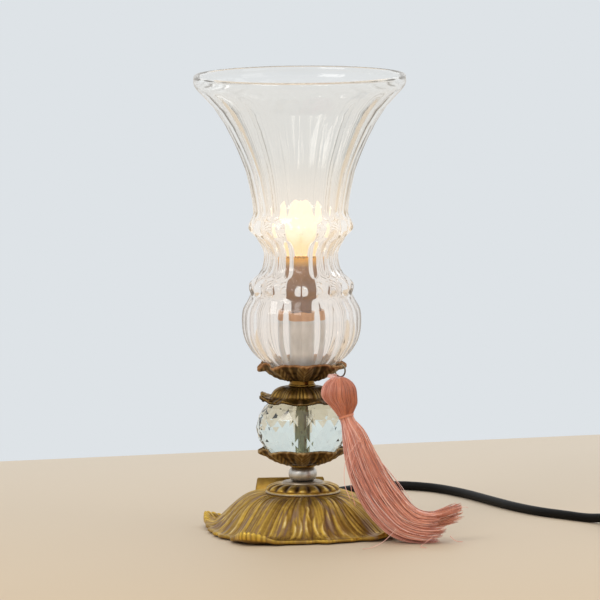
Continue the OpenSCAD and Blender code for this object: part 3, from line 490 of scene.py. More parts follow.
def row_curve(rows, h):
    """A row of values at height h on a smooth curve through the rows, whose first value is height."""
    k = 0
    while k < len(rows) - 2 and h > rows[k + 1][0]:
        k += 1
    p0, p1, p2, p3 = rows[max(k - 1, 0)], rows[k], rows[k + 1], rows[min(k + 2, len(rows) - 1)]
    f = min(1.0, max(0.0, (h - p1[0]) / (p2[0] - p1[0])))
    out = []
    for a, b, c, d in zip(p0[1:], p1[1:], p2[1:], p3[1:]):
        curve = 2 * b + (c - a) * f + (2 * a - 5 * b + 4 * c - d) * f ** 2 + (3 * b - 3 * c + d - a) * f ** 3
        out.append(curve / 2)
    return out


# The foot: a hollow casting of leaves that ends in four scroll feet. Millimetres.
FOOT_STEPS = 720
FOOT_TURN = 60
FOOT_SEAT_R = 25
FOOT_EDGE_R = 66
FOOT_REACH = 14
FOOT_CURL = 6.5
FOOT_EDGE_T = 2.4
FOOT_WALL = 3
FOOT_H = 29
FOOT_PLATE_T = 4
FOOT_LAND_R = 56
FOOT_RELIEF = 1.2
FOOT_SWELL = 1.4
FELT_T = 1
CREST_X = -6
CREST_Y = 40
CREST_T = 3
CREST_W = 48
CREST_SPREAD = 4
CREST_H = 34.5
BOSS_R = 7.2
BOSS_SPAN = (46, 64)
BORE_R = 5.2


def groove(phase):
    """Round lobes with a sharp valley between them, from -1 to 1, once every 360 degrees."""
    return 2 * abs(math.sin(math.radians(phase / 2))) - 1


def streaks(a, s, fine, long):
    """Slow bands of chance from 0 to 1, narrow round the axis and long on the way out."""
    flow = polar(fine, a, long * s)
    return min(1.0, max(0.0, 0.5 + 0.8 * noise.noise(flow)))


def foot_scroll(a):
    return lobe(a - FOOT_TURN, 4, 3)


def foot_edge(a):
    d = math.radians(a - FOOT_TURN)
    return FOOT_EDGE_R + FOOT_REACH * foot_scroll(a) + 0.9 * math.cos(24 * d) + 0.8 * math.sin(13 * d) + 0.4 * math.cos(37 * d)


def foot_curl(a, s):
    return FOOT_CURL * lobe(a - FOOT_TURN, 4, 7) * (1.15 * smooth((s - 0.84) / 0.16) - 0.15 * smooth((s - 0.6) / 0.25))


# Leaf ends rubbed bright on the edge: their direction, half their width in degrees and their strength
RUBBED = [(60, 11, 1), (150, 11, 1), (240, 9, 1), (330, 12, 1), (203, 5, 0.9), (262, 4, 0.45), (274, 3, 0.6),
          (287, 4, 0.7), (304, 4, 0.8), (186, 4, 0.5), (20, 6, 0.8), (95, 6, 0.8), (118, 5, 0.6)]


def foot_rubbed(a):
    return max(share * smooth((1.25 - abs((a - middle + 180) % 360 - 180) / half) / 0.5) for middle, half, share in RUBBED)


# The spray of leaves in each quarter of the foot: where each stroke starts in degrees, its two shares
# of the way out, how far it bows and its half width in degrees
SPRAY_TURN = -86
SPRAY = [
    (-2.5, 0.36, 0.62, 4.5, 1.5), (2.6, 0.44, 0.66, -3.2, 1.3), (0.6, 0.52, 0.9, -3.0, 1.7),
    (-8, 0.55, 0.95, 3.5, 1.4), (-13, 0.6, 0.97, 4.5, 1.4), (8, 0.5, 0.93, -4.0, 1.5), (13.5, 0.6, 0.96, -4.5, 1.4),
    (-20, 0.42, 0.92, 3.5, 1.6), (20, 0.4, 0.9, -3.5, 1.6)
]


def foot_spray(a, s):
    """How far a point lies up on the nearest stroke, and how much of the spray covers it."""
    e = (a - SPRAY_TURN + 45) % 90 - 45
    ridge, cover = 0.0, 0.0
    for start, low, high, bow, wide in SPRAY:
        u = (s - low) / (high - low)
        if not 0 < u < 1:
            continue
        swell = math.sin(math.pi * u) ** 0.5
        off = (e - start - bow * math.sin(math.pi * u) * (1 - 0.5 * u)) / (wide * (0.4 + 0.6 * swell))
        ridge = max(ridge, swell * math.exp(-off * off))
        cover = max(cover, swell * math.exp(-(off / 1.9) ** 4))
    return ridge, cover


def foot_relief(a, s):
    """The carving at an angle and a share of the way out, about -1 to 1: strands, a spray and ribs."""
    d = a - FOOT_TURN
    sway = 5 * s * math.sin(math.radians(4 * d)) + 7 * s * (1 - s) * math.sin(math.radians(7 * d + 250 * s))
    lines = d + sway + 1.2 * math.sin(math.radians(11 * d + 90 * s))
    lobes = math.cos(math.radians(24 * lines + 40 * math.sin(math.radians(5 * d))))
    strands = groove(66 * lines + 90 * s) * (0.6 + 0.4 * math.sin(math.radians(9 * lines + 200 * s)))
    hairs = groove(140 * lines - 150 * s)
    ridge, cover = foot_spray(a, s)
    ribs = groove(150 * d) * smooth((foot_scroll(a) - 0.6) / 0.2) * smooth((s - 0.88) / 0.06)
    fade = smooth(s / 0.1) * smooth((1.05 - s) / 0.18)
    carved = 0.2 * lobes + 0.42 * strands + 0.18 * hairs
    return fade * mix(carved, 1.5 * ridge - 0.55, 0.85 * cover) * (1 - 0.6 * smooth((abs(ribs) - 0.1) / 0.2)) + 0.7 * ribs


def foot_top(s):
    low = FELT_T + FOOT_EDGE_T
    swell = 0.5 + 0.5 * math.cos(math.pi * s ** FOOT_SWELL)
    points, relief, tone, streak = [], [], [], []
    for a in steps(FOOT_STEPS):
        carving = foot_relief(a, s)
        z = low + (FOOT_H - low) * swell + 0.85 * FOOT_RELIEF * carving + foot_curl(a, s)
        points.append(polar(mix(FOOT_SEAT_R, foot_edge(a), s), a, z))
        relief.append(min(1.0, max(0.0, 0.5 + 0.5 * carving)))
        rib = 0.55 + 0.45 * groove(150 * (a - FOOT_TURN))
        tone.append(smooth((s - 0.93) / 0.05) * (0.08 + 0.92 * foot_rubbed(a) * rib))
        flow = a + 6 * s * math.sin(math.radians(4 * (a - FOOT_TURN)))
        streak.append(0.5 * streaks(flow, s, 13, 3) + 0.5 * streaks(flow + 40, s, 31, 5))
    return points, relief, tone, streak


def foot_under(t):
    points = []
    for a in steps(FOOT_STEPS):
        r = mix(FOOT_SEAT_R - 3, FOOT_LAND_R, t)
        s = max(0.0, (r - FOOT_SEAT_R) / (foot_edge(a) - FOOT_SEAT_R))
        low = FELT_T + FOOT_EDGE_T
        z = low + (FOOT_H - low) * (0.5 + 0.5 * math.cos(math.pi * s ** FOOT_SWELL)) - FOOT_WALL - FOOT_RELIEF
        points.append(polar(r, a, max(FELT_T, min(FOOT_H - FOOT_PLATE_T, z))))
    return points


def foot_land(t):
    points = []
    for a in steps(FOOT_STEPS):
        r = mix(FOOT_LAND_R, foot_edge(a), t)
        s = (r - FOOT_SEAT_R) / (foot_edge(a) - FOOT_SEAT_R)
        points.append(polar(r, a, FELT_T + (0 if t < 0.4 else 0.45 * foot_curl(a, s))))
    return points


def flat_ring(r, z, n):
    return [polar(r, a, z) for a in steps(n)]


def make_casting(material):
    shape = Shape()
    rings = [flat_ring(BORE_R, FOOT_H - FOOT_PLATE_T, FOOT_STEPS)]
    rings += [foot_under(t) for t in (0, 0.2, 0.4, 0.55, 0.7, 0.85, 0.99)]
    rings += [foot_land(t) for t in (0, 0.35, 0.6, 0.8, 0.97)]
    lip = foot_top(1.0)
    for share in (0.25, 0.5, 0.75):
        edge = [p.lerp(q, share) + polar(0.5 * math.sin(math.pi * share), a)
                for p, q, a in zip(foot_land(1), lip[0], steps(FOOT_STEPS))]
        rings.append((edge, *lip[1:]))
    rings += [foot_top(1 - k / 72) for k in range(73)]
    rings += [flat_ring(BORE_R, FOOT_H, FOOT_STEPS)]
    shape.skin(rings, loop=True)
    turn = Matrix.Rotation(math.radians(LEAD_TURN - 90), 4, "Z")
    outline = [(-CREST_W / 2 - CREST_SPREAD, LEAD_Z), (CREST_W / 2 + CREST_SPREAD, LEAD_Z),
               (CREST_W / 2, CREST_H - 0.8), (CREST_W / 2 - 0.8, CREST_H),
               (-CREST_W / 2 + 0.8, CREST_H), (-CREST_W / 2, CREST_H - 0.8)]
    shape.prism(outline, CREST_T, turn @ Matrix.Translation((CREST_X, CREST_Y, 0)))
    boss = [polar(d, LEAD_TURN, LEAD_Z) for d in (BOSS_SPAN[0], *spans(*BOSS_SPAN, 4)[1:-1], BOSS_SPAN[1] - 0.8,
                                                   BOSS_SPAN[1])]
    shape.tube(boss, [BOSS_R] * (len(boss) - 1) + [BOSS_R - 0.8], 48)
    piece = new_object("carved_foot", shape.mesh("carved_foot"), material=material)
    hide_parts("base_casting")


# The gadrooned collar on the foot
COLLAR_R = 26.8
COLLAR_H = 8.3
FLANGE_R = 14.3
GADROONS = 18
COLLAR_STEPS = 576


def make_collar(material):
    """Rows are a height over the foot, a radius, a depth of groove and a share of silver."""
    rows = [
        (0, COLLAR_R - 0.8, 0, 1), (0.4, COLLAR_R - 0.1, 0, 1), (1.0, COLLAR_R, 0, 1), (1.5, COLLAR_R - 0.5, 0, 0.5),
        (1.9, COLLAR_R - 1.2, 0, 0), (2.3, COLLAR_R - 0.9, 0.3, 0), (3.2, mix(FLANGE_R, COLLAR_R, 0.97), 0.9, 0),
        (4.2, mix(FLANGE_R, COLLAR_R, 0.93), 1.2, 0), (5, mix(FLANGE_R, COLLAR_R, 0.85), 1.2, 0),
        (5.8, mix(FLANGE_R, COLLAR_R, 0.73), 1.2, 0), (6.4, mix(FLANGE_R, COLLAR_R, 0.6), 1.1, 0),
        (6.85, mix(FLANGE_R, COLLAR_R, 0.43), 0.9, 0), (7.1, mix(FLANGE_R, COLLAR_R, 0.25), 0.5, 0),
        (7.15, FLANGE_R + 1.4, 0.1, 0.2), (7.0, FLANGE_R + 0.5, 0, 1), (7.4, FLANGE_R, 0, 1),
        (8.0, FLANGE_R, 0, 1), (COLLAR_H, FLANGE_R - 0.3, 0, 1), (COLLAR_H, BORE_R, 0, 1)
    ]
    shape = Shape()
    rings = [flat_ring(BORE_R, FOOT_H, COLLAR_STEPS)]
    for h, r, depth, silver in rows:
        points, relief = [], []
        for a in steps(COLLAR_STEPS):
            cut = abs(math.cos(math.radians(GADROONS * a / 2))) ** 3
            points.append(polar(r - depth * cut, a, FOOT_H + h - depth * cut / 2))
            relief.append(0.75 - 0.7 * cut * min(1.0, depth))
        rings.append((points, relief, float(silver)))
    shape.skin(rings, loop=True)
    piece = new_object("gadrooned_collar", shape.mesh("gadrooned_collar"), material=material)
    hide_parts("base_collar")


# The leaf cups: a thin bowl whose rim has a row of leaf tips. Share s runs from seat to rim.
CUP_STEPS = 480
CUP_LEAVES = 8
CUP_SEAT_R = 9.8
CUP_RIM_R = 27.5
CUP_TIP = 4.6
CUP_DEPTH = 10.8
CUP_WALL = 1.6
CAP_DROP = 9.6
CAP_DOME = 0.62
CAP_DOME_DROP = 6.6
CAP_TIP_RISE = 4.4
BOWL_CURVE = 1.9
EYE_TURN = -40
EYE_REACH = 32
EYE_BORE_R = 2.4
EYE_WEB = 2
EYE_RISE = 0.4
Z_LOW_CUP = 49.5
Z_CAP = 105.7
Z_SHADE_CUP = 110.2


def cup_point(a, s, turn, z):
    """The plan of a leaf cup: its rim reaches out at each leaf tip, with small teeth between."""
    d = a - turn
    teeth = 0.35 * groove(5 * CUP_LEAVES * d) * smooth((s - 0.85) / 0.15)
    r = mix(CUP_SEAT_R, CUP_RIM_R + CUP_TIP * lobe(d, CUP_LEAVES, 1.5), s) + teeth
    return polar(r, a, z)


def cup_carving(a, s, turn):
    """Leaf relief, about -1 to 1: a veined leaf on each tip, and a small dart between two leaves."""
    half = 180 / CUP_LEAVES
    d = (a - turn + half) % (2 * half) - half
    off = abs(d + 1.5 * math.sin(math.radians(300 * s + 5 * a)))
    width = 16 * smooth(s / 0.3) * (1 - 0.3 * s * s)
    leaf = smooth((width - off) / 2.2)
    midrib = math.exp(-(off / 1.3) ** 2)
    veins = groove(62 * off - 2050 * s)
    dart = math.exp(-((half - off) / 2.6) ** 2) * smooth((s - 0.3) / 0.2)
    fade = smooth(s / 0.12)
    return fade * (leaf * (0.1 + 0.5 * veins) + 0.5 * midrib + (1 - leaf) * (1.0 * dart - 0.55 + 0.25 * groove(1500 * s)))


def cup_sides(a):
    """How far a direction points to the lamp's own left or right, where the leaf tips bend most."""
    return math.cos(math.radians(a)) ** 2


def bowl_z(a, s, turn, depth, droop):
    hang = droop * (0.05 + 0.95 * cup_sides(a) + (0.45 * cup_sides(a) if 90 < a < 270 else 0))
    sag = hang * lobe(a - turn, CUP_LEAVES, 2) * smooth((s - 0.72) / 0.28)
    return depth * s ** BOWL_CURVE - sag


def bowl_rings(z, turn, depth, droop):
    rings = [flat_ring(BORE_R, z, CUP_STEPS)]
    shares = spans(0, 1, 34)
    for s in shares:
        points, relief, streak = [], [], []
        for a in steps(CUP_STEPS):
            cut = cup_carving(a, s, turn) * (1 - 0.4 * smooth((s - 0.85) / 0.15))
            points.append(cup_point(a, s, turn, z + bowl_z(a, s, turn, depth, droop) - 0.7 * cut))
            relief.append(min(1.0, max(0.0, 0.5 + 0.5 * cut)))
            streak.append(streaks(a, s, 7, 2))
        # Tone marks the rim's edge: rubbed gilding, and on the shade cup a painted warm light.
        rings.append((points, relief, 0.6 * smooth((s - 0.95) / 0.05), streak))
    for s in reversed(shares):
        points = [cup_point(a, s, turn, z + CUP_WALL + (depth * s ** BOWL_CURVE if s < 0.7 else
                                                         bowl_z(a, s, turn, depth, droop)))
                  for a in steps(CUP_STEPS)]
        # Tone at the inner rim likewise: rubbed gilding, and on the shade cup a painted warm light.
        rings.append((points, [0.45 + 0.3 * smooth((s - 0.9) / 0.1)] * CUP_STEPS, smooth((s - 0.93) / 0.07)))
    rings.append(flat_ring(BORE_R, z + CUP_WALL, CUP_STEPS))
    return rings


def dome(u):
    return 1 - math.sqrt(1 - 0.95 * u * u)


def cap_z(a, s, turn):
    """The drop from the cap's top: a round dome out to CAP_DOME, and a flared rim from there."""
    if s < CAP_DOME:
        drop = CAP_DOME_DROP * dome(s / CAP_DOME) / dome(1)
    else:
        drop = mix(CAP_DOME_DROP, CAP_DROP, (s - CAP_DOME) / (1 - CAP_DOME))
    rise = CAP_TIP_RISE * (0.35 + 0.65 * cup_sides(a))
    return drop - rise * lobe(a - turn, CUP_LEAVES, 2) * smooth((s - 0.7) / 0.3)


def cap_flutes(a, s, turn):
    wander = 2.6 * math.sin(math.radians(3 * a + 60 * s)) + 1.2 * math.sin(math.radians(7 * a - 90 * s))
    deep = 0.6 + 0.4 * math.sin(math.radians(11 * a + 40 * s))
    return deep * groove(6 * CUP_LEAVES * (a - turn + wander)) * smooth((s - 0.12) / 0.15) * smooth((CAP_DOME + 0.08 - s) / 0.1)


def make_lower_cup(material):
    shape = Shape()
    shape.skin(bowl_rings(Z_LOW_CUP, 0, CUP_DEPTH, 1.6), loop=True)
    piece = new_object("lower_cup_leaves", shape.mesh("lower_cup_leaves"), material=material)
    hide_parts("lower_leaf_cup")


def make_cap(material):
    turn = EYE_TURN - 7 + 180 / CUP_LEAVES
    shares = spans(0, 1, 30)
    shape = Shape()
    rings = [flat_ring(BORE_R, Z_CAP - CUP_WALL, CUP_STEPS)]
    for s in shares:
        points = [cup_point(a, s, turn, Z_CAP - cap_z(a, s, turn) - CUP_WALL) for a in steps(CUP_STEPS)]
        rings.append((points, [0.25] * CUP_STEPS, 0.0))
    for s in reversed(shares):
        points, relief, streak = [], [], []
        for a in steps(CUP_STEPS):
            cut = cap_flutes(a, s, turn) + 0.9 * cup_carving(a, s, turn) * smooth((s - CAP_DOME) / 0.1)
            points.append(cup_point(a, s, turn, Z_CAP - cap_z(a, s, turn) + 0.4 * cut))
            relief.append(min(1.0, max(0.0, 0.42 + 0.36 * cut)))
            streak.append(streaks(a, s, 9, 1.5))
        rings.append((points, relief, 0.6 * smooth((s - 0.95) / 0.05), streak))
    rings.append(flat_ring(BORE_R, Z_CAP, CUP_STEPS))
    shape.skin(rings, loop=True)
    piece = new_object("cap_leaves", shape.mesh("cap_leaves"), material=material)
    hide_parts("upper_leaf_cap")


def make_shade_cup(material):
    """The cup with a drilled leaf, whose eye holds the tassel's ring."""
    shape = Shape()
    shape.skin(bowl_rings(Z_SHADE_CUP, EYE_TURN, CUP_DEPTH + 1.7, 3.6), loop=True)
    z = Z_SHADE_CUP + CUP_DEPTH + EYE_RISE
    middle = polar(EYE_REACH, EYE_TURN, 0)
    outer = EYE_BORE_R + EYE_WEB
    profile = [(EYE_BORE_R + 0.2, 0), (outer - 0.4, 0), (outer, 0.4), (outer, CUP_WALL - 0.5),
               (outer - 0.5, CUP_WALL), (EYE_BORE_R + 0.3, CUP_WALL), (EYE_BORE_R, CUP_WALL - 0.3), (EYE_BORE_R, 0.2)]
    shape.skin([([middle + polar(r, a, z + h) for a in steps(48)], [0.7] * 48, 0.5) for r, h in profile], loop=True)
    piece = new_object("shade_cup_leaves", shape.mesh("shade_cup_leaves"), material=material)
    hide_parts("shade_leaf_cup")


# The glass shade. Rows are a height over its foot, an outer radius over the ridges, a share of the
# hollows' depth and a share of the beads' height.
SHADE_STEPS = 320
SHADE_H = 216.6
SHADE_RIM_R = 75.7
SHADE_BULB_R = 42.4
SHADE_WAIST_R = 26.6
SHADE_WALL = 4
SHADE_FLUTE = 1.4
SHADE_BEAD = 2.9
SHADE_FLOOR_T = 6
FLUTES = 20
Z_SHADE = 112.8
SHADE_ROWS = [
    (0, SHADE_BULB_R * 0.26, 0, 0), (6, SHADE_BULB_R * 0.47, 0, 0), (12, SHADE_BULB_R * 0.70, 0.6, 0),
    (18, SHADE_BULB_R * 0.84, 1, 0), (26, SHADE_BULB_R * 0.95, 1, 0), (35, SHADE_BULB_R, 1, 0),
    (48, SHADE_BULB_R * 0.99, 1, 0), (58.5, SHADE_BULB_R * 0.87, 0.5, 0), (62.5, SHADE_BULB_R * 0.885, 0, 1),
    (67, SHADE_BULB_R * 0.875, 0, 0.8), (77, SHADE_WAIST_R + 1.8, 1, 0), (89, SHADE_WAIST_R, 1, 0),
    (97, SHADE_WAIST_R + 3.8, 1, 0), (106.5, SHADE_WAIST_R + 11, 0, 1), (112, SHADE_WAIST_R + 9.6, 0, 0.4),
    (119, SHADE_WAIST_R + 7.4, 1, 0), (147, SHADE_WAIST_R + 12.2, 1, 0), (164, SHADE_WAIST_R + 18.8, 1, 0),
    (181, mix(SHADE_WAIST_R, SHADE_RIM_R, 0.55), 1, 0), (193, mix(SHADE_WAIST_R, SHADE_RIM_R, 0.71), 1, 0),
    (201, mix(SHADE_WAIST_R, SHADE_RIM_R, 0.86), 0.8, 0), (209, SHADE_RIM_R - 0.5, 0, 0),
    (214.5, SHADE_RIM_R, 0, 0)
]
SHADE_ARCH = 4


def shade_ring(h):
    points = []
    for a in steps(SHADE_STEPS):
        mid = abs(math.sin(math.radians(FLUTES * a / 2)))
        r = row_curve(SHADE_ROWS, h)[0]
        flute, bead = row_curve(SHADE_ROWS, h + SHADE_ARCH * (1 - mid) * (1 if h > 150 else 0))[1:]
        flute, bead = min(1.0, max(0.0, flute)), min(1.0, max(0.0, bead))
        points.append(polar(r - SHADE_FLUTE * flute * mid - SHADE_BEAD * bead * (1 - mid), a, Z_SHADE + h))
    return points


def make_shade(material):
    shape = Shape()
    rings = [flat_ring(BORE_R, Z_SHADE, SHADE_STEPS)]
    rings += [shade_ring(h) for h in spans(0, 214.5, 120)]
    top = Z_SHADE + SHADE_H
    for r, z in ((SHADE_RIM_R - 0.2, 215.6), (SHADE_RIM_R - 1, 216.4), (SHADE_RIM_R - 2, SHADE_H),
                 (SHADE_RIM_R - 3, 216.3), (SHADE_RIM_R - 3.7, 215.4)):
        rings.append(flat_ring(r, Z_SHADE + z, SHADE_STEPS))
    for h in reversed(spans(7.5, 213.5, 84)):
        r = row_curve(SHADE_ROWS, h)[0] - SHADE_WALL
        rings.append(flat_ring(r, Z_SHADE + h, SHADE_STEPS))
    floor_r = row_curve(SHADE_ROWS, 6)[0] - SHADE_WALL
    rings += [flat_ring(floor_r, Z_SHADE + SHADE_FLOOR_T + 0.3, SHADE_STEPS)]
    rings += [flat_ring(floor_r - 2, Z_SHADE + SHADE_FLOOR_T, SHADE_STEPS)]
    rings += [flat_ring(BORE_R, Z_SHADE + SHADE_FLOOR_T, SHADE_STEPS)]
    shape.skin(rings, loop=True)
    piece = new_object("fluted_shade", shape.mesh("fluted_shade"), material=material)
    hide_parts("glass_shade")


# The tassel: silk threads over the head, round the neck and down the skirt. Millimetres.
RING_MID = Vector((27.12, -22.75, 119.6))
RING_R = 4.7
HEAD_MID = Vector((26.2, -33.5, 104.2))
HEAD_R = 12.6
HEAD_TOP = 12
NECK = Vector((30.8, -34.5, 89.5))
NECK_R = 5
THREAD_R = 0.25
SKIRT_PATH = [
    NECK, Vector((32.6, -35.3, 83.6)), Vector((36.6, -37.3, 74.5)), Vector((40.3, -40, 62.5)), Vector((45, -43, 50)),
    Vector((52, -47.2, 36.5)), Vector((60.5, -51.5, 25)), Vector((70, -55, 15.8)), Vector((82, -57.2, 11)),
    Vector((96, -57.2, 10.8)), Vector((115.5, -54.8, 15.5))
]
SKIRT_RADII = [5, 5.2, 8.8, 11.2, 13, 14.2, 14.6, 13.8, 12.3, 11.8, 12.3]
SKIRT_THREADS = 1150
CORE_THREADS = 420
LOCKS = 19
THREAD_RINGS = 26


def along(path, t):
    """A point on a smooth curve through a path's points, at t from 0 to its last index."""
    last = len(path) - 1
    i = min(int(t), last - 1)
    f = t - i
    p0, p1, p2, p3 = path[max(i - 1, 0)], path[i], path[i + 1], path[min(i + 2, last)]
    return 0.5 * (2 * p1 + (p2 - p0) * f + (2 * p0 - 5 * p1 + 4 * p2 - p3) * f ** 2
                  + (3 * p1 - 3 * p2 + p3 - p0) * f ** 3)


def skirt_frame(t):
    """The skirt's middle, its radius and two ways across it, at t from 0 at the neck to 1."""
    u = min(t, 1.0) * (len(SKIRT_PATH) - 1)
    middle = along(SKIRT_PATH, u)
    way = (along(SKIRT_PATH, min(u + 0.1, len(SKIRT_PATH) - 1)) - along(SKIRT_PATH, max(u - 0.1, 0))).normalized()
    side = Vector((0, 1, 0)).cross(way).normalized()
    k = min(int(u), len(SKIRT_RADII) - 2)
    radius = mix(SKIRT_RADII[k], SKIRT_RADII[k + 1], u - k)
    return middle, radius, side, way.cross(side)


def skirt_point(t, turn, depth):
    middle, radius, side, top = skirt_frame(t)
    out = math.cos(turn) * side + math.sin(turn) * top
    return middle + (radius - THREAD_R) * depth * out


def add_skirt(shape, random_of):
    """Threads in loose locks over a closed core; those on top reach further than those in front."""
    frames = [skirt_frame(i / 40) for i in range(31)]
    core = []
    for i, (middle, radius, side, top) in enumerate(frames):
        ring = [middle + 0.74 * radius * (math.cos(TAU * j / 36) * side + math.sin(TAU * j / 36) * top)
                for j in range(36)]
        # The core is given a dark shade, a painted shade deep among the threads.
        core.append(([Vector((p.x, p.y, max(p.z, 0.6))) for p in ring], [0.15] * 36, 0.4))
    shape.skin(core)
    locks = [TAU * (k + random_of.uniform(-0.35, 0.35)) / LOCKS for k in range(LOCKS)]
    lean = [random_of.uniform(-0.5, 0.5) for _ in locks]
    reach = [random_of.uniform(0.94, 1.0) for _ in locks]
    tint = [random_of.uniform(-0.16, 0.16) for _ in locks]
    for n in range(SKIRT_THREADS + CORE_THREADS):
        inner = n >= SKIRT_THREADS
        begin, rings = (0.7, 9) if inner else (0, THREAD_RINGS)
        turn = random_of.uniform(0, TAU)
        depth = math.sqrt(random_of.uniform(0, 0.58) if inner else random_of.uniform(0.55, 1))
        k = min(range(LOCKS), key=lambda i: abs(math.remainder(turn - locks[i], TAU)))
        offset = math.remainder(turn - locks[k], TAU)
        gather = random_of.uniform(-0.3, 0.3)
        wave = [random_of.uniform(0, TAU), random_of.uniform(0.8, 2.2), random_of.uniform(0.02, 0.11)]
        splay = random_of.uniform(-0.1, 0.22)
        middle, radius, side, top = skirt_frame(0.95)
        up = (math.cos(turn) * side + math.sin(turn) * top).dot(Vector((0, 0.5, 0.85)))
        end = min(1.0, reach[k] * random_of.uniform(0.94, 1.0) * (0.95 + 0.065 * up))
        shade = min(1.0, max(0.0, random_of.betavariate(1.1, 1.1) + tint[k]))
        middle, radius, side, top = skirt_frame(0.4)
        # Threads on the lamp's left turn pinker: a painted cool light from that side.
        leftward = -(math.cos(turn) * side + math.sin(turn) * top).x
        tone = min(1.0, max(0.0, 0.45 + 0.5 * leftward + random_of.uniform(-0.2, 0.2)))
        line = []
        for i in range(rings + 1):
            t = mix(begin, end, i / rings)
            pull = gather * smooth(t / 0.5)
            angle = locks[k] + offset * (1 - pull) + lean[k] * t * t + wave[2] * math.sin(wave[0] + wave[1] * TAU * t)
            out = depth * (1 + 0.05 * math.sin(wave[0] * 3 + wave[1] * 4 * t) * smooth(t / 0.3))
            p = skirt_point(t, angle, min(1.0, out) + splay * smooth((t - 0.86) / 0.14))
            line.append(Vector((p.x, p.y, max(p.z, THREAD_R + 0.05))))
        thin = [THREAD_R] * (len(line) - 1) + [0.6 * THREAD_R]
        shape.tube(line, thin, 4, tone=tone, relief=shade, floor=0.06)


# Threads that have strayed from the skirt: their points, and each one's shade
STRAYS = [
    ([(41, -50, 74), (31, -56, 60), (29.5, -62, 44), (33.5, -68, 33)], 0.75),
    ([(40.5, -50, 70), (35, -56, 57), (34, -63, 42), (37, -68, 28)], 0.5),
    ([(53, -46, 60), (60, -45, 51.5), (68.5, -46, 41), (77, -49, 29)], 0.95),
    ([(55, -46, 57), (64, -45, 46), (70, -47, 37), (75, -50, 27)], 0.8),
    ([(66, -70, 12), (57, -77, 4), (48, -83, 0.4), (42, -89, 0.4)], 0.85),
    ([(92, -68, 6), (86, -73, 2), (83, -80, 0.4), (87, -86, 0.4)], 0.7),
    ([(109, -56, 22), (113, -55, 25), (117, -54, 24.5)], 0.9),
    ([(104, -67, 6), (108, -70, 3), (113, -72, 2.5)], 0.6)
]


def stray(shape, points, shade):
    path = [Vector(p) for p in points]
    line = [along(path, i / 8) for i in range(8 * (len(path) - 1) + 1)]
    shape.tube(line, 0.2, 5, tone=0.9, relief=shade, floor=0.06)


def add_head(shape, random_of):
    """Threads from the knot at the top, over the ball and in at the tied neck, over a closed ball."""
    def head_place(t, turn, proud):
        angle = math.pi * mix(0.03, 0.86, t)
        r = HEAD_R * math.sin(angle)
        middle = HEAD_MID.lerp(NECK, smooth((t - 0.55) / 0.45) * 0.9)
        tight = smooth((t - 0.8) / 0.2)
        z = HEAD_MID.z + HEAD_R * math.cos(angle) * (HEAD_TOP / HEAD_R if angle < math.pi / 2 else 1)
        r = mix(r, NECK_R + 0.2, tight)
        z = mix(z, NECK.z - 1.2, tight)
        return Vector((middle.x, middle.y, z)) + polar((r + proud), math.degrees(turn))

    rows = [([head_place(i / 30, TAU * j / 48, -0.4) for j in range(48)], [0.3] * 48, 0.1) for i in range(31)]
    shape.skin(list(reversed(rows)))
    for k in range(380):
        turn = TAU * k / 380 + random_of.uniform(-0.02, 0.02)
        twist = random_of.uniform(-0.1, 0.1)
        shade = random_of.random()
        proud = random_of.uniform(-0.2, 0.12)
        line = [head_place(i / 26, turn + twist * math.sin(math.pi * i / 26), proud) for i in range(27)]
        # Threads on the lamp's left are pinker and lighter: painted cool light from that side.
        shape.tube(line, 0.2, 4, tone=max(0.0, 0.1 - 0.9 * math.cos(turn)), relief=(0.62 - 0.25 * math.cos(turn)) * shade)


def add_tie(shape):
    way = (SKIRT_PATH[1] - SKIRT_PATH[0]).normalized()
    side = Vector((0, 1, 0)).cross(way).normalized()
    top = way.cross(side)
    middle = SKIRT_PATH[0].lerp(SKIRT_PATH[1], 0.2)
    for wind_r, turns, shift in ((NECK_R + 0.3, 6, 0), (NECK_R + 0.5, 4, 0.2)):
        line = []
        for i in range(24 * turns + 1):
            a = TAU * i / 24
            push = way * (0.36 * (i / 24 - turns / 2) + shift)
            line.append(middle + wind_r * (math.cos(a) * side + math.sin(a) * top) + push)
        shape.tube(line, 0.2, 6, tone=0.2, relief=0.55)


# The loop's way from the head's top, out past the ring's lowest wire, round it and back
LOOP = [(25, -33, 114.6), (21.4, -32, 115.9), (18.6, -29, 116.3), (19.8, -25.6, 116.2), (24, -21.8, 115.8),
        (27.2, -21.3, 113.9), (28.6, -23.6, 113.6), (28.4, -28, 114.4), (27, -32.6, 114.4)]


def add_loop(shape):
    """Three pink cords from the head's top, through the ring and back."""
    path = [Vector(p) for p in LOOP]
    for shift in (-0.95, 0, 0.95):
        line = []
        for i in range(6 * (len(path) - 1) + 1):
            p = along(path, i / 6)
            line.append(p + Vector((0.35, 0.5, 0.65)) * shift)
        shape.tube(line, 0.4, 7, tone=1.0, relief=0.9)


def make_tassel(material):
    random_of = random.Random(11)
    skirt, head, tie, loop = Shape(), Shape(), Shape(), Shape()
    add_skirt(skirt, random_of)
    for points, shade in STRAYS:
        stray(skirt, points, shade)
    add_head(head, random_of)
    add_tie(tie)
    add_loop(loop)
    for name, shape, node in (("silk_skirt", skirt, "tassel_skirt"), ("silk_head", head, "tassel_head"),
                              ("silk_tie", tie, "tassel_tie"), ("silk_loop", loop, "tassel_loop")):
        piece = new_object(name, shape.mesh(name), body="tassel", material=material)
        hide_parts(node)


# Materials

def set_colour(n, colour):
    n.shader.inputs["Base Color"].default_value = (*colour, 1)


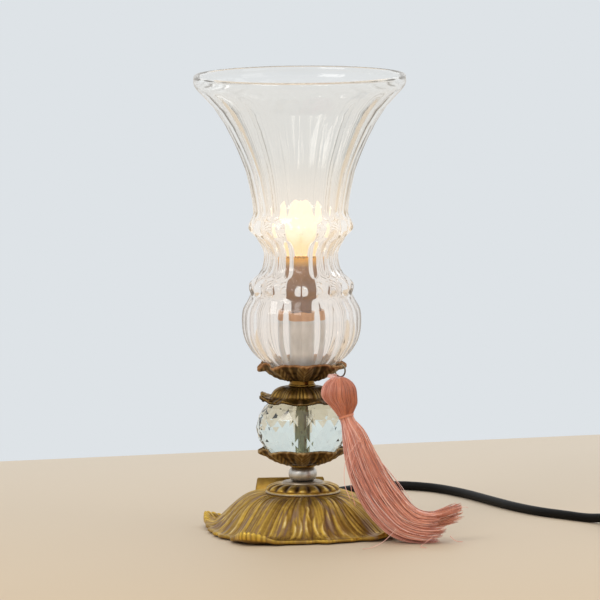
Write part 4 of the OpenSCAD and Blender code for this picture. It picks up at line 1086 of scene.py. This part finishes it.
def gold(name, stops, edge, patina=0.35, metal=0.85, bright=srgb(205, 165, 62), dull=srgb(132, 104, 86)):
    """Worn gilding, dark in the hollows and pale on the crests (patina and rubbed gilding with painted shade and
    painted highlights), streaked dull and bright, with rubbed edges.
    """
    n = Nodes(name)
    # Relief drives the colour: patina with painted shade in the hollows, rubbed gilding with painted highlights on the
    # crests.
    worn_and_shaded = n.math("ADD", n.attribute("relief"), n.math("MULTIPLY", n.math("SUBTRACT", n.noise(260, 4), 0.5), 0.45))
    base = n.ramp(worn_and_shaded, stops)
    streak = n.math("ADD", n.attribute("streak"), n.math("MULTIPLY", n.math("SUBTRACT", n.noise(110, 3), 0.5), 0.5))
    low = n.ramp(streak, [(0.22, (1, 1, 1)), (0.46, (0, 0, 0))])
    high = n.ramp(streak, [(0.56, (0, 0, 0)), (0.78, (1, 1, 1))])
    base = n.blend(base, dull, n.math("MULTIPLY", low, patina))
    # Crests take bright gold where streaked: rubbed gilding and a painted highlight.
    crest = n.ramp(worn_and_shaded, [(0.35, (0, 0, 0)), (0.75, (1, 1, 1))])
    base = n.blend(base, bright, n.math("MULTIPLY", n.math("MULTIPLY", high, crest), 0.75))
    # The edge colour: wear on most castings, on the shade cup a painted warm light from the lit glass.
    rubbed_and_lit_edge = n.math("MULTIPLY", n.attribute("tone"), n.math("ADD", n.math("MULTIPLY", n.noise(420, 3), 0.7), 0.45))
    n.colour(n.blend(base, edge, rubbed_and_lit_edge))
    n.roughness(n.noise(380, 3), 0.32, 0.52)
    n.set(Metallic=metal)
    n.bump(n.noise(900, 3), 0.12 * MM, 0.35)
    return n.material


def metal(name, low, high, rough=(0.25, 0.4), turned=0.0, grain=700):
    """Plain metal with a fine uneven tone, and turned rings where turned gives their height in mm."""
    n = Nodes(name)
    n.colour(n.ramp(n.noise(120, 4), [(0.3, low), (0.7, high)]))
    n.roughness(n.noise(grain, 3), *rough)
    n.set(Metallic=1.0)
    if turned:
        n.bump(n.noise(1, 2, stretch=(0, 0, 2200)), turned * MM, 0.6)
    n.bump(n.noise(grain, 2), 0.02 * MM, 0.4)
    return n.material


def glass(name, ramp_stops, rough=0.015, ior=1.5, wave=0.25, glow=None):
    """Clear glass whose faint tint follows its height, with the slow waves of a pressed surface.

    Glow gives stops of a painted glow by height, emission that stands for the bulb's light caught in the glass.
    """
    n = Nodes(name)
    height = n.add("ShaderNodeSeparateXYZ")
    n.link(n.coords(), height.inputs[0])
    share = n.math("MULTIPLY", height.outputs["Z"], 1 / 0.34)
    n.colour(n.ramp(share, ramp_stops))
    n.roughness(n.noise(40, 2), rough, rough + 0.03)
    n.set(Transmission_Weight=1.0, IOR=ior)
    if glow:
        n.link(n.ramp(share, glow), n.shader.inputs["Emission Color"])
        n.set(Emission_Strength=1.0)
    n.bump(n.noise(45, 2), wave * MM, 0.3)
    return n.material


def plastic(name, low, high, rough=(0.35, 0.5), grain=1500, depth=0.03):
    n = Nodes(name)
    n.colour(n.ramp(n.noise(90, 3), [(0.3, low), (0.75, high)]))
    n.roughness(n.noise(grain, 2), *rough)
    n.bump(n.noise(grain, 2), depth * MM, 0.5)
    return n.material


def silk_material():
    """Shining threads: each has its own shade, orange over the head and pinker down the skirt; threads on the lamp's
    left are pinker still, a painted cool light from that side.
    """
    n = Nodes("silk")
    shade = n.math("ADD", n.attribute("relief"), n.math("MULTIPLY", n.math("SUBTRACT", n.noise(240, 2), 0.5), 0.2))
    warm = n.ramp(shade, [(0.0, srgb(158, 84, 54)), (0.25, srgb(204, 118, 80)), (0.6, srgb(226, 144, 104)),
                          (0.85, srgb(238, 170, 136)), (1.0, srgb(250, 212, 190))])
    pink = n.ramp(shade, [(0.0, srgb(164, 88, 70)), (0.25, srgb(210, 127, 103)), (0.6, srgb(230, 155, 132)),
                          (0.85, srgb(242, 187, 168)), (1.0, srgb(250, 222, 214))])
    n.colour(n.blend(warm, pink, n.attribute("tone")))
    n.roughness(n.noise(300, 2), 0.26, 0.42)
    n.set(Sheen_Weight=0.4, Sheen_Roughness=0.4, Specular_IOR_Level=0.75)
    n.shader.inputs["Sheen Tint"].default_value = (0.95, 0.85, 1.0, 1)
    return n.material


def felt_material():
    n = Nodes("felt")
    fuzz = n.noise(2400, 4)
    n.colour(n.ramp(fuzz, [(0.3, srgb(22, 24, 22)), (0.7, srgb(52, 54, 50))]))
    n.set(Roughness=0.95, Sheen_Weight=0.3)
    n.bump(fuzz, 0.3 * MM, 0.8)
    return n.material


def sleeve_material():
    """The lampholder's brown sleeve, with painted light from the bulb above: lighter up its height and yellow at its
    rim.
    """
    n = Nodes("brown_brass")
    height = n.add("ShaderNodeSeparateXYZ")
    n.link(n.coords(), height.inputs[0])
    rise = n.add("ShaderNodeMapRange")
    rise.inputs["From Min"].default_value = 0.155
    rise.inputs["From Max"].default_value = 0.1985
    n.link(height.outputs["Z"], rise.inputs["Value"])
    # Painted light from the bulb: the brown lightens with height to a yellow rim.
    n.colour(n.ramp(n.math("ADD", rise.outputs["Result"], n.math("MULTIPLY", n.noise(160, 3), 0.06)), [
        (0.0, srgb(120, 82, 52)), (0.55, srgb(146, 104, 66)), (0.88, srgb(172, 122, 70)), (0.99, srgb(255, 196, 84))]))
    n.roughness(n.noise(500, 3), 0.3, 0.45)
    n.set(Metallic=0.6)
    n.bump(n.noise(1, 2, stretch=(0, 0, 2600)), 0.03 * MM, 0.5)
    return n.material


def lit(name, colour, low, strength, span):
    """Lit frosted glass: it glows colour, and low at its foot, where span gives the two heights in metres.

    To the eye it keeps its own colour, and seen in a reflection its strength is raised by 8, a painted glint in the
    shade's ribs.
    """
    n = Nodes(name)
    height = n.add("ShaderNodeSeparateXYZ")
    n.link(n.coords(), height.inputs[0])
    rise = n.add("ShaderNodeMapRange")
    rise.inputs["From Min"].default_value, rise.inputs["From Max"].default_value = span
    n.link(height.outputs["Z"], rise.inputs["Value"])
    frost = n.math("MULTIPLY", n.math("SUBTRACT", n.noise(500, 2), 0.5), 0.08)
    glow = n.ramp(n.math("ADD", rise.outputs["Result"], frost), [(0.0, low), (1.0, colour)])
    path = n.add("ShaderNodeLightPath")
    # A painted glint: rays reflected to the eye see the glass glow stronger.
    painted_glint = n.math("SUBTRACT", path.outputs["Is Glossy Ray"], path.outputs["Is Transmission Ray"])
    painted_glint = n.math("MULTIPLY", n.math("MAXIMUM", painted_glint, 0.0), 8.0)
    n.link(n.math("ADD", painted_glint, strength), n.shader.inputs["Emission Strength"])
    n.set(Roughness=0.6, Specular_IOR_Level=0.2)
    n.shader.inputs["Base Color"].default_value = (0.5, 0.45, 0.38, 1)
    n.link(glow, n.shader.inputs["Emission Color"])
    return n.material


def dress(material, *nodes):
    """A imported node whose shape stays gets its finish."""
    for node in nodes:
        for place in bpy.data.objects[node].material_slots:
            place.material = material


# Ramps from the hollows to the crests: the dark ends are patina with painted shade, the pale ends rubbed gilding with
# painted highlights.
CAST_STOPS = [(0.05, srgb(66, 44, 20)), (0.3, srgb(120, 88, 42)), (0.52, srgb(154, 120, 50)),
              (0.74, srgb(186, 150, 68)), (0.95, srgb(232, 208, 142))]
CUP_STOPS = [(0.05, srgb(46, 36, 22)), (0.34, srgb(94, 76, 48)), (0.55, srgb(130, 107, 70)),
             (0.78, srgb(170, 146, 102)), (0.98, srgb(220, 200, 156))]
CAP_STOPS = [(0.05, srgb(48, 34, 12)), (0.34, srgb(92, 68, 26)), (0.55, srgb(124, 94, 40)),
             (0.78, srgb(154, 124, 62)), (0.98, srgb(204, 176, 112))]


def make_metalwork():
    cast = gold("old_gold", CAST_STOPS, srgb(226, 186, 74), patina=0.8)
    make_casting(cast)
    make_collar(gold("collar_gold", CAST_STOPS, srgb(150, 140, 130), patina=0.15))
    make_lower_cup(gold("cup_gold", CUP_STOPS, srgb(160, 128, 84), patina=0.3, bright=srgb(150, 122, 78)))
    # The shade cup's reddish edge colour is a painted warm light from the lit glass above its rim.
    make_shade_cup(gold("shade_cup_gold", CUP_STOPS, srgb(186, 130, 88), patina=0.3, bright=srgb(150, 122, 78)))
    make_cap(gold("cap_gold", CAP_STOPS, srgb(104, 84, 48), patina=0.25, bright=srgb(160, 126, 60)))
    dress(metal("neck_gold", srgb(96, 72, 32), srgb(158, 126, 64), rough=(0.14, 0.24)), "upper_neck_ring", "lower_neck_ring")
    dress(metal("brass", srgb(170, 136, 62), srgb(206, 170, 90)), "bottom_nut", "holder_nut", "screw_shell",
          "center_contact", "contact_rivets", "bulb_cap", "switch_contacts", "plug_blades")
    dress(metal("steel", srgb(140, 140, 142), srgb(186, 186, 188)), "lock_washer", "bottom_washer", "holder_stem",
          "bulb_contact", "switch_pivot", "switch_screws")
    dress(metal("rod_steel", srgb(118, 114, 90), srgb(156, 150, 122), turned=0.2), "threaded_tube")
    dress(metal("ring_steel", srgb(96, 84, 66), srgb(150, 136, 112)), "tassel_ring")
    dress(metal("satin_nickel", srgb(176, 172, 165), srgb(216, 212, 206), rough=(0.34, 0.44)), "ball_spacer")
    dress(metal("holder_satin", srgb(206, 210, 214), srgb(230, 234, 240), rough=(0.36, 0.46), turned=0.04),
          "holder_cup", "shade_top_washer")
    dress(metal("copper", srgb(188, 138, 94), srgb(220, 174, 130), turned=0.02), "holder_ring")
    dress(sleeve_material(), "holder_sleeve")


def make_small_parts():
    black = plastic("black_plastic", srgb(24, 23, 23), srgb(38, 36, 36))
    dress(black, "cord_grip", "switch_bottom", "switch_top", "coil_tie", "plug_body")
    dress(plastic("rocker_plastic", srgb(32, 31, 31), srgb(52, 50, 50), rough=(0.25, 0.35)), "switch_rocker")
    dress(plastic("rubber", srgb(40, 38, 36), srgb(60, 57, 54), rough=(0.6, 0.75)), "crystal_pad", "shade_seat_washer")
    dress(plastic("ceramic", srgb(224, 218, 204), srgb(240, 236, 226), rough=(0.3, 0.4)), "socket_insulator")
    dress(plastic("wire_brown", srgb(92, 54, 34), srgb(118, 72, 46)), "live_lead")
    dress(plastic("wire_blue", srgb(38, 76, 140), srgb(56, 98, 168)), "neutral_lead")
    dress(felt_material(), "base_felt")
    dress(lead_finish, "lead_tail")


def make_glasswork():
    # The shade is tinted warmer low down, a painted warm light from the bulb and the copper ring, and its glow stops
    # are a faint painted glow all over, strongest beside the bulb.
    shade = glass("shade_glass", [(0.33, (0.95, 0.905, 0.865)), (0.55, (0.95, 0.905, 0.865)),
                                  (0.75, (0.905, 0.885, 0.855)), (0.95, (0.905, 0.895, 0.875))],
                  glow=[(0.33, (0.034, 0.03, 0.026)), (0.56, (0.034, 0.029, 0.024)), (0.64, (0.085, 0.068, 0.048)),
                        (0.72, (0.06, 0.049, 0.036)), (0.8, (0.034, 0.032, 0.028)), (0.97, (0.036, 0.034, 0.031))])
    make_shade(shade)
    crystal = glass("crystal", [(0.14, (0.87, 0.925, 0.865)), (0.3, (0.86, 0.92, 0.86))], rough=0.0, ior=1.54, wave=0.0)
    dress(crystal, "crystal_ball")
    dress(glass("bulb_stem_glass", [(0.5, (0.96, 0.97, 0.97)), (0.6, (0.98, 0.98, 0.98))]), "bulb_stem")
    dress(lit("bulb_glass", srgb(250, 236, 212), srgb(244, 212, 160), 0.9, (0.206, 0.22)), "bulb_glass")
    dress(lit("filament", (1.0, 0.8, 0.5), (1.0, 0.7, 0.35), 12.0, (0.2, 0.23)), "bulb_filament")


make_camera()
lead_finish = lead_material()
make_cords(lead_finish)
make_table()
make_world()
make_lights()
make_metalwork()
make_small_parts()
make_glasswork()
make_tassel(silk_material())

bpy.context.scene.view_settings.view_transform = "Standard"
